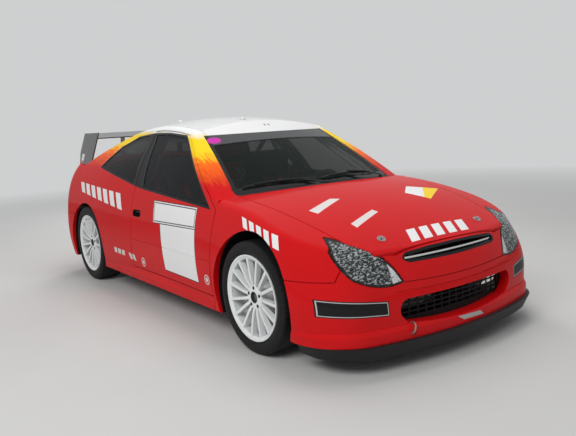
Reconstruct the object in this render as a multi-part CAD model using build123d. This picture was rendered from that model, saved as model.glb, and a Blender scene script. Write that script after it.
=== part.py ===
from build123d import *
import math
import os

# Rally car: three-door hatchback in tarmac trim.
# X forward, Y left, Z up, millimetres.  The origin is on the ground, in the middle of the length.

# Driving dimensions of the whole car
WHEELBASE = 2555
FRONT_OVERHANG = 822
REAR_OVERHANG = 790
WIDTH = 1770
HEIGHT = 1330
RIDE = 165

# Wheels
TYRE_R = 320
TYRE_WIDTH = 206
RIM_R = 243
WHEEL_FACE_Y = 865
SPOKES = 15
LUGS = 5
LUG_CIRCLE_R = 54

# Panel thicknesses and gaps
SIDE_WALL = 60
SKIN = 28
TAIL_WALL = 45
GLASS = 5
GLASS_RECESS = 3
SHUT_GAP = 6
SEAM_DEPTH = 8

LENGTH = FRONT_OVERHANG + WHEELBASE + REAR_OVERHANG
FRONT_AXLE_X = LENGTH / 2 - FRONT_OVERHANG
REAR_AXLE_X = FRONT_AXLE_X - WHEELBASE
HALF_WIDTH = WIDTH / 2
TAIL_X = -LENGTH / 2
SPLITTER_REACH = 36
NOSE_X = LENGTH / 2 - SPLITTER_REACH
WHEEL_Y = WHEEL_FACE_Y - TYRE_WIDTH / 2
FAR = 3000

# Plan outlines of the body, from the skirts up.  Insets are measured from the half width,
# setbacks from the nose and the tail.
# height, nose setback, front inset, door inset, rear inset, tail setback, nose corner, tail corner
BODY_LEVELS = (
    (RIDE, 0, 28, 46, 24, 45, 330, 300),
    (300, 12, 6, 26, 5, 14, 340, 300),
    (470, 38, 2, 22, 1, 0, 380, 300),
    (620, 112, 24, 36, 14, 8, 420, 290),
    (800, 215, 84, 80, 50, 40, 430, 270),
    (1000, 300, 180, 172, 150, 150, 420, 240),
    (HEIGHT + 20, 330, 379, 347, 359, 420, 380, 200),
)
NOSE_BOW_R = 2300
TAIL_BOW_R = 2600
DOOR_MID_X = FRONT_AXLE_X - 1250

# Crowned top surfaces: three side-view points (x, z) and the radius across the car
BONNET_TOP = ((FRONT_AXLE_X - 400, 872), (FRONT_AXLE_X + 200, 775), (FRONT_AXLE_X + 691, 596), 7000)
SCREEN_TOP = ((FRONT_AXLE_X - 311, 846), (FRONT_AXLE_X - 620, 1036), (FRONT_AXLE_X - 935, 1207), 3000)
HATCH_HINGE_X = REAR_AXLE_X + 330
HATCH_HINGE_Z = HEIGHT - 60
HATCH_HINGE = (HATCH_HINGE_X, HATCH_HINGE_Z)
ROOF_TOP = ((FRONT_AXLE_X - 900, HEIGHT - 78), (REAR_AXLE_X + 1063, HEIGHT), HATCH_HINGE, 2600)
HATCH_TOP = (HATCH_HINGE, (REAR_AXLE_X - 120, 1140), (REAR_AXLE_X - 523, 985), 2600)
ROOF_EDGE_R = 60
SHOULDER_R = 60


def circle_through(p, q, r):
    """Centre and radius of the circle through three points."""
    (ax, ay), (bx, by), (cx, cy) = p, q, r
    d = 2 * (ax * (by - cy) + bx * (cy - ay) + cx * (ay - by))
    sa, sb, sc = ax * ax + ay * ay, bx * bx + by * by, cx * cx + cy * cy
    ux = (sa * (by - cy) + sb * (cy - ay) + sc * (ay - by)) / d
    uy = (sa * (cx - bx) + sb * (ax - cx) + sc * (bx - ax)) / d
    return ux, uy, math.hypot(ax - ux, ay - uy)


def s_curve(p, q):
    """Two equal tangent arcs that leave p and reach q parallel to the car's length."""
    (x1, y1), (x2, y2) = p, q
    dx, dy = x2 - x1, y2 - y1
    if abs(dy) < 0.5:
        return [Line(p, q)]
    radius = (dx * dx + dy * dy) / (4 * abs(dy))
    sign = 1 if dy < 0 else -1
    mid = ((x1 + x2) / 2, (y1 + y2) / 2)
    rise = math.sqrt(radius ** 2 - (dx / 4) ** 2) - radius
    first = ThreePointArc(p, (x1 + dx / 4, y1 + sign * rise), mid)
    second = ThreePointArc(mid, (x2 - dx / 4, y2 - sign * rise), q)
    return [first, second]


def level_at(z):
    """The level at a height between two of the table."""
    for low, high in zip(BODY_LEVELS, BODY_LEVELS[1:]):
        if low[0] <= z <= high[0]:
            share = (z - low[0]) / (high[0] - low[0])
            return (z,) + tuple(a + (b - a) * share for a, b in zip(low[1:], high[1:]))


def body_outline(level, inset):
    """Closed plan outline of the body at one level, moved inwards by inset."""
    z, nose_back, front_in, door_in, rear_in, tail_back, nose_r, tail_r = level
    nose = NOSE_X - nose_back - inset
    tail = TAIL_X + tail_back + inset
    y_front, y_door, y_rear = (HALF_WIDTH - k - inset for k in (front_in, door_in, rear_in))
    nose_corner_x = nose - y_front ** 2 / (2 * NOSE_BOW_R)
    tail_corner_x = tail + y_rear ** 2 / (2 * TAIL_BOW_R)
    front = (FRONT_AXLE_X, y_front)
    door = (DOOR_MID_X, y_door)
    rear = (REAR_AXLE_X, y_rear)
    side = [Line((nose_corner_x, y_front), front)] + s_curve(front, door) + s_curve(door, rear)
    side.append(Line(rear, (tail_corner_x, y_rear)))
    other = [edge.mirror(Plane.XZ) for edge in side]
    nose_bow = ThreePointArc((nose_corner_x, -y_front), (nose, 0), (nose_corner_x, y_front))
    tail_bow = ThreePointArc((tail_corner_x, -y_rear), (tail, 0), (tail_corner_x, y_rear))
    face = Face(Wire(side + other + [nose_bow, tail_bow]))
    corners = [v for v in face.vertices() if abs(v.X - nose_corner_x) < 1 and v.X > FRONT_AXLE_X]
    face = face.fillet_2d(nose_r - inset, corners)
    corners = [v for v in face.vertices() if abs(v.X - tail_corner_x) < 1 and v.X < REAR_AXLE_X]
    face = face.fillet_2d(tail_r - inset, corners)
    return Pos(0, 0, z) * face.outer_wire()


def below(top, drop=0):
    """Everything under a crowned surface, lowered by drop along its normal."""
    crown = top[-1]
    points = sorted(top[:-1], reverse=True)
    cx, cz, r = circle_through(*points)
    shrink = (r - drop) / r
    a, b, c = [(cx + (x - cx) * shrink, cz + (z - cz) * shrink) for x, z in points]

    def at(point):
        return Vector(point[0], 0, point[1])

    def along_tangent(point, x):
        return x, point[1] - (point[0] - cx) / (point[1] - cz) * (x - point[0])

    front, back = along_tangent(a, FAR), along_tangent(c, -FAR)
    floor = min(-100, front[1] - 50, back[1] - 50)
    edges = [ThreePointArc(at(a), at(b), at(c)), Line(at(c), at(back)), Line(at(back), at((-FAR, floor)))]
    edges += [Line(at((-FAR, floor)), at((FAR, floor))), Line(at((FAR, floor)), at(front))]
    edges.append(Line(at(front), at(a)))
    axis_z = points[1][1] - crown
    half = math.degrees(math.atan((HALF_WIDTH + 95) / -axis_z))
    axis = Axis((0, 0, axis_z), (1, 0, 0))
    return Solid.revolve(Face(Wire(edges)).rotate(axis, -half), 2 * half, axis)


def body_hull(inset=0, skin=0, tail_skin=None):
    """The closed body form, inset at the sides and lowered on top."""
    tail_skin = skin if tail_skin is None else tail_skin
    sides = Solid.make_loft([body_outline(level, inset) for level in BODY_LEVELS])
    cabin = below(SCREEN_TOP, skin) & below(ROOF_TOP, skin) & below(HATCH_TOP, tail_skin)
    return one(sides & (below(BONNET_TOP, skin) + cabin))


def one(shape):
    """The single solid of a shape, or its largest when slivers came off."""
    return max(shape.solids(), key=lambda solid: solid.volume)


def prism(edges, plane, near, far):
    """A closed outline on a plane, pushed from near to far along the plane's normal."""
    face = Face(Wire(edges))
    return plane.offset(near) * extrude(face, far - near, dir=(0, 0, 1))


def loop(*points):
    """Straight edges round a closed list of points."""
    return [Line(p, q) for p, q in zip(points, points[1:] + points[:1])]


def block(x0, x1, y0, y1, z0, z1):
    """A box between two corners."""
    return Pos((x0 + x1) / 2, (y0 + y1) / 2, (z0 + z1) / 2) * Box(x1 - x0, y1 - y0, z1 - z0)


def rod(p, q, radius):
    """A round bar from p to q."""
    start, end = Vector(*p), Vector(*q)
    return Solid.make_cylinder(radius, (end - start).length, Plane(start, z_dir=end - start))


def mirrored(shape):
    """The same piece on the other side of the car."""
    return shape.mirror(Plane.XZ)


# Side view outlines, x from the front axle where they belong to the front, z from the ground
DOOR_FRONT_X = FRONT_AXLE_X - 400
DOOR_REAR_X = DOOR_FRONT_X - 1208
DOOR_BOTTOM_Z = 262
PILLAR_FOOT_Z = 772
FRAME_W = 24
GLASS_FRONT = (FRONT_AXLE_X - 490, 786)
GLASS_TOP_FRONT = (FRONT_AXLE_X - 1128, 1198)
GLASS_TOP_MID = (FRONT_AXLE_X - 1400, 1218)
GLASS_TOP_REAR = (FRONT_AXLE_X - 1638, 1221)
GLASS_REAR = (FRONT_AXLE_X - 1478, 852)
QUARTER_FRONT_TOP = (GLASS_TOP_REAR[0] - 118, 1216)
QUARTER_TOP = (REAR_AXLE_X + 540, 1199)
QUARTER_REAR_TOP = (REAR_AXLE_X + 318, 1127)
QUARTER_REAR = (REAR_AXLE_X + 170, 978)
QUARTER_FRONT = (GLASS_REAR[0] - 175, 874)


def door_outline(grow):
    """Edge of the door in side view, grown outwards by a gap."""
    foot = (DOOR_FRONT_X + grow, DOOR_BOTTOM_Z - grow)
    hip = (DOOR_FRONT_X + grow, PILLAR_FOOT_Z + grow * 0.6)
    brow = (GLASS_TOP_FRONT[0] + 34 + grow * 0.5, GLASS_TOP_FRONT[1] + FRAME_W - 12 + grow * 0.9)
    top = (GLASS_TOP_MID[0] + 20, GLASS_TOP_MID[1] + FRAME_W + grow)
    back = (GLASS_TOP_REAR[0] - 46 - grow * 1.5, GLASS_TOP_REAR[1] + FRAME_W + grow)
    waist = (DOOR_REAR_X - grow, 858)
    heel = (DOOR_REAR_X - grow, DOOR_BOTTOM_Z - grow)
    arc = ThreePointArc(brow, top, back)
    return [Line(foot, hip), Line(hip, brow), arc, Line(back, waist), Line(waist, heel), Line(heel, foot)]


def door_glass_outline(grow):
    a = (GLASS_FRONT[0] + 1.6 * grow, GLASS_FRONT[1] - grow)
    b = (GLASS_TOP_FRONT[0] + grow, GLASS_TOP_FRONT[1] + grow)
    mid = (GLASS_TOP_MID[0], GLASS_TOP_MID[1] + grow)
    c = (GLASS_TOP_REAR[0] - grow, GLASS_TOP_REAR[1] + grow)
    d = (GLASS_REAR[0] - grow, GLASS_REAR[1] - grow)
    return [Line(a, b), ThreePointArc(b, mid, c), Line(c, d), Line(d, a)]


def quarter_glass_outline(grow):
    a = (QUARTER_FRONT[0] + grow, QUARTER_FRONT[1] - grow)
    b = (QUARTER_FRONT_TOP[0] + grow, QUARTER_FRONT_TOP[1] + grow)
    mid = (QUARTER_TOP[0], QUARTER_TOP[1] + grow)
    c = (QUARTER_REAR_TOP[0] - grow, QUARTER_REAR_TOP[1] + grow)
    d = (QUARTER_REAR[0] - grow, QUARTER_REAR[1] - grow)
    return [Line(a, b), ThreePointArc(b, mid, c), Line(c, d), Line(d, a)]


def side_prism(edges, from_y):
    """A side-view outline pushed out through the left flank from y = from_y."""
    return prism(edges, Plane.XZ, -FAR, -from_y)


# Bonnet in plan, windscreen and rear window on their own slopes
BONNET_REAR_X = FRONT_AXLE_X - 378
BONNET_REAR_Y = 664
BONNET_REAR_BOW = 110
BONNET_NOSE_X = FRONT_AXLE_X + 664
BONNET_HINGE_Z = 838
LEAD_GAP = 1.7


def bonnet_outline(grow):
    tail = (BONNET_REAR_X - grow, BONNET_REAR_Y + grow)
    flank = (FRONT_AXLE_X + 90, 654 + grow)
    lamp_top = (FRONT_AXLE_X + 508, 598 + grow)
    corner = (FRONT_AXLE_X + 634 + grow * 0.4, 518 + grow * 0.8)
    front = (FRONT_AXLE_X + 655 + grow * LEAD_GAP, 400 + grow * 0.3)
    half = [ThreePointArc(tail, flank, lamp_top), Line(lamp_top, corner), Line(corner, front)]
    other = [edge.mirror(Plane.XZ) for edge in half]
    lead = ThreePointArc(front, (BONNET_NOSE_X + grow * LEAD_GAP, 0), (front[0], -front[1]))
    rear = ThreePointArc(tail, (BONNET_REAR_X + BONNET_REAR_BOW - grow, 0), (tail[0], -tail[1]))
    return half + other + [lead, rear]


SCREEN_MID = (FRONT_AXLE_X - 622, 1030)
SCREEN_SLOPE = 30.1
HATCH_MID = (REAR_AXLE_X - 90, 1135)
HATCH_SLOPE = 18.6


def slope_plane(mid, degrees, facing):
    """A plane on a sloping pane: its x axis runs up the slope, its normal leaves the car."""
    lean = math.radians(degrees)
    return Plane(origin=(mid[0], 0, mid[1]), x_dir=(-facing * math.cos(lean), 0, math.sin(lean)),
                 z_dir=(facing * math.sin(lean), 0, math.cos(lean)))


def pane_outline(low_mid, low_side, low_y, high_mid, high_side, high_y, grow):
    """Outline of a pane: bowed lower and upper edges joined by straight sides."""
    a, b = (low_side - grow, low_y + grow), (high_side + grow, high_y + grow)
    c, d = (high_side + grow, -high_y - grow), (low_side - grow, -low_y - grow)
    upper = ThreePointArc(b, (high_mid + grow, 0), c)
    lower = ThreePointArc(d, (low_mid - grow, 0), a)
    return [Line(a, b), upper, Line(c, d), lower]


def screen_outline(grow):
    return pane_outline(-360, -248, 653, 359, 426, 517, grow)


def rear_window_outline(grow):
    return pane_outline(-290, -272, 560, 300, 318, 452, grow)


INSERT_THICK = 6
SEAL_CLEAR = 0.3
SEAL_THICK = 12
SEAL_LAP = 14
ARCH_FRONT_R = 380
ARCH_REAR_R = 375
ARCH_FRONT = (FRONT_AXLE_X + 12, TYRE_R - 6)
ARCH_REAR = (REAR_AXLE_X, TYRE_R - 25)
ARCH_FRONT_INNER_Y = 512
ARCH_REAR_INNER_Y = 640
BUMPER_TOP_Z = 487
BUMPER_REAR_TOP_Z = 560
LAMP_SPLIT_X = FRONT_AXLE_X + 588
NOSE_CUT_X = LAMP_SPLIT_X - 200
ROOF_HALF_Y = 497
COWL_HALF_Y = 650
SEAM_WIDTH = 5
CREASE_Z = 470
LIP_OUT = 8
LIP_EDGE_Z = 214
LIP_TOP_Z = 238
LIP_REAR_X = FRONT_AXLE_X + 366
SKIRT_Y = 864
FIREWALL_X = DOOR_FRONT_X + SEAL_LAP + 2
DOOR_LIP = 14
HANDLE = (DOOR_REAR_X + 95, 666)
HANDLE_FLOOR_Y = 812
DOOR_BOX_BACK = 20
GATE_LIP = 6
LIP_CHAMFER = 20
GATE_BOX_INSET = 45
GATE_WAIST_Z = 880
FIREWALL_THICK = 20
FLOOR_Z = 172
FLOOR_THICK = 18
BOOT_FLOOR_Z = 430


def roof_line(edge):
    a, m, b = edge @ 0, edge @ 0.5, edge @ 1
    long_way = abs(a.Z - b.Z) < 130 and REAR_AXLE_X - 210 < m.X
    return long_way and m.Z > 1000 and min(a.Z, b.Z) > 960 and 400 < abs(m.Y) < 770


def shoulder_line(edge):
    a, m, b = edge @ 0, edge @ 0.5, edge @ 1
    return abs(m.Y) > 600 and m.X > DOOR_FRONT_X + 100 and 560 < min(a.Z, b.Z) and max(a.Z, b.Z) < 840


def wheel_arch(centre, radius, inner_y, side):
    """The round hole through one flank round a wheel."""
    start = (centre[0], side * inner_y, centre[1])
    return rod(start, (centre[0], side * (HALF_WIDTH + 50), centre[1]), radius)


def tailgate_outline(grow):
    half = [(500 + grow, 1450), (520 + grow, 1225), (712 + grow, 1000), (712 + grow, 905 - grow),
            (612 + grow, GATE_WAIST_Z - grow), (585 + grow, BUMPER_REAR_TOP_Z + SHUT_GAP - grow)]
    return loop(*(half + [(-y, z) for y, z in reversed(half)]))


def lamp_outline(grow):
    """Headlamp in front view, y outwards: top corner, nose tip and outer corner."""
    top = (662, 676 + grow)
    inner = (505 - grow, 596 + grow)
    tip = (406 - grow, 449)
    low = (562, 447 - grow)
    outer_low = (672 + grow, 490 - grow)
    outer = (716 + grow, 624)
    arcs = [ThreePointArc(top, inner, tip), ThreePointArc(tip, low, outer_low)]
    return arcs + [ThreePointArc(outer_low, (708 + grow, 560), outer), Line(outer, top)]


def tail_lamp_outline(grow):
    return loop((630 - grow, 856 + grow), (752, 846 + grow), (800 + grow, 700), (640 - grow, 640 - grow))


def upper_slot(grow):
    """Upper grille opening in front view."""
    ends = ((335, 546 - grow), (357 + grow, 557), (335, 568 + grow))
    left = [(-y, z) for y, z in reversed(ends)]
    return [ThreePointArc(left[2], (0, 540 - grow), ends[0]), ThreePointArc(*ends),
            ThreePointArc(ends[2], (0, 583 + grow), left[0]), ThreePointArc(*left)]


def lower_opening(grow):
    """Lower grille opening in front view: flat on top, rounded below."""
    top, side = (398, 366 + grow), (446 + grow, 318)
    low, foot = (424 + grow * 0.7, 268 - grow * 0.7), (350, 237 - grow)
    right = [ThreePointArc(foot, (398, 245 - grow), low), ThreePointArc(low, side, top)]
    left = [edge.mirror(Plane.YZ) for edge in right]
    bottom = ThreePointArc((-foot[0], foot[1]), (0, 217 - grow), foot)
    return right + left + [bottom, Line(top, (-top[0], top[1]))]


def front_band(low, high, rise, half_y):
    """A band across the nose in front view that drops towards the middle."""
    a, b = (-half_y, low + rise), (half_y, low + rise)
    c, d = (half_y, high + rise), (-half_y, high + rise)
    return [ThreePointArc(a, (0, low), b), Line(b, c), ThreePointArc(c, (0, high), d), Line(d, a)]


def front_prism(edges, near):
    """A front-view outline (y, z) pushed forwards from x = near."""
    return prism(edges, Plane.YZ, near, FAR)


def grille_zone(grow):
    """Both openings of the nose, grown outwards."""
    return front_prism(upper_slot(grow), NOSE_CUT_X) + front_prism(lower_opening(grow), NOSE_CUT_X)


def seam_at(middle):
    """Both sides of a seam."""
    return middle - SEAM_WIDTH / 2, middle + SEAM_WIDTH / 2


def rear_prism(edges, near):
    """A rear-view outline (y, z) pushed rearwards from x = near."""
    return prism(edges, Plane.YZ, -FAR, near)


def both(shape):
    return shape + mirrored(shape)


PARTS = {}


def keep(name, shape):
    """Store one finished piece under its plain name."""
    solids = [solid for solid in shape.solids() if solid.volume > 50]
    PARTS[name] = Compound(children=solids) if len(solids) > 1 else solids[0]


# Body forms: the front one has rounded shoulders, the rear one has rounded roof rails
HULL = body_hull()
HULL_FRONT = HULL.fillet(SHOULDER_R, [e for e in HULL.edges() if shoulder_line(e)])
HULL_REAR = HULL.fillet(ROOF_EDGE_R, [e for e in HULL.edges() if roof_line(e)])
PANE = body_hull(GLASS_RECESS, GLASS_RECESS)
CORE = body_hull(SEAM_DEPTH, SEAM_DEPTH)
INNER = body_hull(SIDE_WALL, SKIN, TAIL_WALL)
SEAL_FACE = body_hull(SIDE_WALL + SEAL_CLEAR, SKIN + SEAL_CLEAR, TAIL_WALL + SEAL_CLEAR)
SEAL_BACK = body_hull(SIDE_WALL + SEAL_THICK, SKIN + SEAL_THICK, TAIL_WALL + SEAL_THICK)
INSERT_BACK = body_hull(SIDE_WALL + INSERT_THICK, SKIN + INSERT_THICK, TAIL_WALL + INSERT_THICK)
BONNET_UNDER = below(BONNET_TOP, SKIN)
BONNET_SEAT = below(BONNET_TOP, SKIN + SHUT_GAP)

FENDER_REAR_X = DOOR_FRONT_X + SHUT_GAP
FRONT_HALF = block(FENDER_REAR_X, FAR, -FAR, FAR, -FAR, FAR)
REAR_HALF = block(-FAR, FENDER_REAR_X, -FAR, FAR, -FAR, FAR)
LEFT_HALF = block(-FAR, FAR, 0, FAR, -FAR, FAR)
STEER_ROOM = 7
ARCHES_FRONT = both(wheel_arch(ARCH_FRONT, ARCH_FRONT_R, ARCH_FRONT_INNER_Y, 1))
ARCHES_REAR = both(wheel_arch(ARCH_REAR, ARCH_REAR_R, ARCH_REAR_INNER_Y, 1))
SHELL_FRONT = (HULL_FRONT & FRONT_HALF) - INNER - ARCHES_FRONT
SHELL_REAR = (HULL_REAR & REAR_HALF) - INNER - ARCHES_REAR
print("shells")

# Openings in the shell
BONNET_SHAPE = prism(bonnet_outline(0), Plane.XY, 300, 1200)
BONNET_HOLE = prism(bonnet_outline(SHUT_GAP), Plane.XY, 300, 1200) - BONNET_SEAT
SCREEN_PLANE = slope_plane(SCREEN_MID, SCREEN_SLOPE, 1)
SCREEN_HOLE = prism(screen_outline(0), SCREEN_PLANE, -160, 160)
HATCH_PLANE = slope_plane(HATCH_MID, HATCH_SLOPE, -1)
HATCH_GLASS_HOLE = prism(rear_window_outline(0), HATCH_PLANE, -160, 160)
LAMP_HOLES = both(front_prism(lamp_outline(0), FRONT_AXLE_X + 400))
TAIL_LAMP_HOLES = both(rear_prism(tail_lamp_outline(0), REAR_AXLE_X - 400))

# Seams between the fixed panels and the creases of the nose, cut into the outer face
fender_seam = block(FRONT_AXLE_X + 100, LAMP_SPLIT_X, -FAR, FAR, *seam_at(BUMPER_TOP_Z))
lamp_seam = block(*seam_at(LAMP_SPLIT_X), -FAR, FAR, BUMPER_TOP_Z, FAR)
sill_seam = block(*seam_at(FENDER_REAR_X), -FAR, FAR, 0, DOOR_BOTTOM_Z)
tail_seam = block(-FAR, REAR_AXLE_X, -FAR, FAR, *seam_at(BUMPER_REAR_TOP_Z))
ledge = front_prism(front_band(436, 441, 14, 470), LAMP_SPLIT_X)
roof_seam = block(HATCH_HINGE_X + 60, FRONT_AXLE_X - 880, *seam_at(ROOF_HALF_Y), 1100, FAR)
lamp_ring = both(front_prism(lamp_outline(4), FRONT_AXLE_X + 400)) - LAMP_HOLES
SEAMS = fender_seam + lamp_seam + sill_seam + tail_seam + ledge + both(roof_seam) + lamp_ring
SEAMS = SEAMS - CORE
door_crease = block(DOOR_REAR_X, DOOR_FRONT_X, -FAR, FAR, CREASE_Z - 2, CREASE_Z + 2)
nose_crease = front_prism(front_band(398, 402, 9, 470), LAMP_SPLIT_X)
CREASES = (door_crease + nose_crease) - PANE
lip_edge = body_outline(level_at(LIP_EDGE_Z), -LIP_OUT)
LOWER_LIP = Solid.make_loft([body_outline(level_at(RIDE), -LIP_OUT), lip_edge])
LOWER_LIP += Solid.make_loft([lip_edge, body_outline(level_at(LIP_TOP_Z), 2)])
LOWER_LIP = (LOWER_LIP & block(LIP_REAR_X, FAR, -FAR, FAR, 0, FAR)) - INNER - ARCHES_FRONT
skirt_side = loop((800, RIDE), (838, RIDE), (SKIRT_Y, RIDE + 4), (SKIRT_Y + 3, 212), (852, 242), (800, 242))
SKIRT = prism(skirt_side, Plane.YZ, REAR_AXLE_X + 200, FRONT_AXLE_X - 200) - INNER
SKIRT = SKIRT - ARCHES_FRONT - ARCHES_REAR
print("seams")

# Bonnet
bonnet = ((HULL_FRONT & BONNET_SHAPE) - BONNET_UNDER)
keep("bonnet", bonnet)

# Windscreen, cowl, firewall
keep("windscreen", (PANE - CORE) & SCREEN_HOLE)
cowl_zone = block(FRONT_AXLE_X - 480, FRONT_AXLE_X - 200, -COWL_HALF_Y, COWL_HALF_Y, 600, 1000)
cowl = (HULL - INNER) & cowl_zone
cowl = cowl - SCREEN_HOLE - BONNET_HOLE
keep("cowl", one(cowl))
firewall = INNER & block(FIREWALL_X, FIREWALL_X + FIREWALL_THICK, -FAR, FAR, 0, FAR)
# At full lock the tyre comes close to the firewall's flanks, so they give way
firewall -= both(wheel_arch(ARCH_FRONT, ARCH_FRONT_R + STEER_ROOM, ARCH_FRONT_INNER_Y, 1))
keep("firewall", firewall - BONNET_HOLE)

# Front bumper, fenders and headlamps
fender_zone = block(FENDER_REAR_X, LAMP_SPLIT_X, 0, FAR, -FAR, FAR)
fender_zone -= block(FRONT_AXLE_X + 100, FAR, -FAR, FAR, -FAR, BUMPER_TOP_Z)
fender = (SHELL_FRONT & fender_zone) - BONNET_HOLE - cowl_zone - SCREEN_HOLE - LAMP_HOLES
fender = one(fender + (SKIRT & FRONT_HALF) - SEAMS)
keep("fender_left", fender)
keep("fender_right", mirrored(fender))
bumper_zone = block(FRONT_AXLE_X + 100, FAR, -FAR, FAR, -FAR, BUMPER_TOP_Z)
bumper_zone += block(LAMP_SPLIT_X, FAR, -FAR, FAR, -FAR, FAR)
bumper = (SHELL_FRONT & bumper_zone) + LOWER_LIP
bumper = one(bumper - BONNET_HOLE - LAMP_HOLES - grille_zone(0) - SEAMS - CREASES)
keep("front_bumper", bumper)
lens = (HULL_FRONT - CORE) & LAMP_HOLES
lens = (lens & FRONT_HALF) - BONNET_HOLE
keep("headlamps", lens)

# Black inserts of the nose: a slatted grille behind each opening and a bowl behind each lens
insert_skin = INNER - INSERT_BACK
UPPER_BARS = (340, 12, 545, 567, 1)
LOWER_BARS = (396, 14, 250, 352, 4)
cells = []
for half_y, columns, z_low, z_high, rows in (UPPER_BARS, LOWER_BARS):
    pitch_y, pitch_z = 2 * half_y / columns, (z_high - z_low) / rows
    for row in range(rows):
        z = z_low + row * pitch_z
        for column in range(columns):
            y = -half_y + column * pitch_y
            cells.append(block(NOSE_CUT_X, FAR, y + 4, y + pitch_y - 4, z + 4, z + pitch_z - 4))
grille = (insert_skin & grille_zone(14)) - cells
lamp_bowl = ((CORE - INSERT_BACK) & LAMP_HOLES) - (both(front_prism(lamp_outline(-5), 0)) - INNER)
lamp_bowl = lamp_bowl - prism(bonnet_outline(SEAL_LAP + 1), Plane.XY, 300, 1200)
front_side = ThreePointArc((NOSE_X - 112, -360), (NOSE_X - 88, 0), (NOSE_X - 112, 360))
rear_side = ThreePointArc((NOSE_X - 122, 360), (NOSE_X - 98, 0), (NOSE_X - 122, -360))
slot_bar = [front_side, Line(front_side @ 1, rear_side @ 0), rear_side, Line(rear_side @ 1, front_side @ 0)]
slot_bar = prism(slot_bar, Plane.XY, 550, 560) - bumper
keep("nose_plastics", grille + lamp_bowl + slot_bar)
print("front")

# Side frames: pillars, sill and rear quarter in one pressing
door_hole = side_prism(door_outline(SHUT_GAP), ROOF_HALF_Y)
quarter_hole = side_prism(quarter_glass_outline(0), ROOF_HALF_Y)
roof_zone = block(HATCH_HINGE_X + SHUT_GAP, FRONT_AXLE_X - 850, -ROOF_HALF_Y, ROOF_HALF_Y, 900, FAR)
tailgate_hole = rear_prism(tailgate_outline(SHUT_GAP), HATCH_HINGE_X + SHUT_GAP)
rear_bumper_zone = block(-FAR, REAR_AXLE_X - 100, -FAR, FAR, -FAR, BUMPER_REAR_TOP_Z)
frame = (SHELL_REAR & LEFT_HALF) - door_hole - quarter_hole - roof_zone - tailgate_hole
frame = frame - rear_bumper_zone - SCREEN_HOLE - cowl_zone - TAIL_LAMP_HOLES
frame = one(frame + (SKIRT & REAR_HALF) - SEAMS)
keep("side_frame_left", frame)
keep("side_frame_right", mirrored(frame))
roof = one((SHELL_REAR & roof_zone) - SCREEN_HOLE - SEAMS)
keep("roof_panel", roof)
TAILPIPE_Y = 420
TAILPIPE_Z = 235
TAILPIPE_R = 38
pipe_hole = rod((TAIL_X - 50, TAILPIPE_Y, TAILPIPE_Z), (TAIL_X + 300, TAILPIPE_Y, TAILPIPE_Z),
                TAILPIPE_R + 8)
plate_recess = block(-FAR, TAIL_X + 16, -262, 262, 330, 446)
rear_bumper = one((SHELL_REAR & rear_bumper_zone) - pipe_hole - SEAMS - plate_recess)
keep("rear_bumper", rear_bumper)
keep("tail_lamps", (SHELL_REAR & TAIL_LAMP_HOLES) - tailgate_hole)
quarter_glass = (PANE - CORE) & quarter_hole
keep("quarter_windows", both(quarter_glass))
print("sides")

# Tailgate with its window.  Above the waist its box stops short of the edges, so that it lifts clear
tailgate_shape = rear_prism(tailgate_outline(0), HATCH_HINGE_X)
lip_back = body_hull(GATE_LIP, GATE_LIP, GATE_LIP)
lip_back = lip_back.chamfer(LIP_CHAMFER, None, [e for e in lip_back.edges() if roof_line(e)])
gate_rim = lip_back - rear_prism(tailgate_outline(-GATE_BOX_INSET), FAR)
gate_rim = gate_rim - block(-FAR, FAR, -FAR, FAR, 0, GATE_WAIST_Z)
tailgate = one((SHELL_REAR & tailgate_shape) - gate_rim - HATCH_GLASS_HOLE)
keep("tailgate", tailgate)
keep("rear_window", (PANE - CORE) & HATCH_GLASS_HOLE)

# Doors
door = SHELL_REAR & side_prism(door_outline(0), ROOF_HALF_Y + SHUT_GAP)
door = door - side_prism(door_glass_outline(0), ROOF_HALF_Y)
# The inner box stops short of the rear edge, so that it swings clear of the pillar
box_back = loop((DOOR_REAR_X + DOOR_BOX_BACK, 0), (DOOR_REAR_X + DOOR_BOX_BACK, 858),
                (GLASS_TOP_REAR[0] - 46 + DOOR_BOX_BACK, 1400), (-FAR, 1400), (-FAR, 0))
door = one(door - (body_hull(DOOR_LIP, DOOR_LIP) & side_prism(box_back, 0)) - CREASES)
hx, hz = HANDLE
back_end = ThreePointArc((hx - 42, hz - 24), (hx - 66, hz), (hx - 42, hz + 24))
front_end = ThreePointArc((hx + 42, hz + 24), (hx + 66, hz), (hx + 42, hz - 24))
recess = [back_end, Line(back_end @ 1, front_end @ 0), front_end, Line(front_end @ 1, back_end @ 0)]
door = door - side_prism(recess, HANDLE_FLOOR_Y)
door = one(door + block(hx - 62, hx + 52, HANDLE_FLOOR_Y + 6, HANDLE_FLOOR_Y + 18, hz + 2, hz + 16))
keep("door_left", door)
keep("door_right", mirrored(door))
door_glass = one((PANE - CORE) & side_prism(door_glass_outline(0), ROOF_HALF_Y))
keep("door_glass_left", door_glass)
keep("door_glass_right", mirrored(door_glass))
print("doors")

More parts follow.
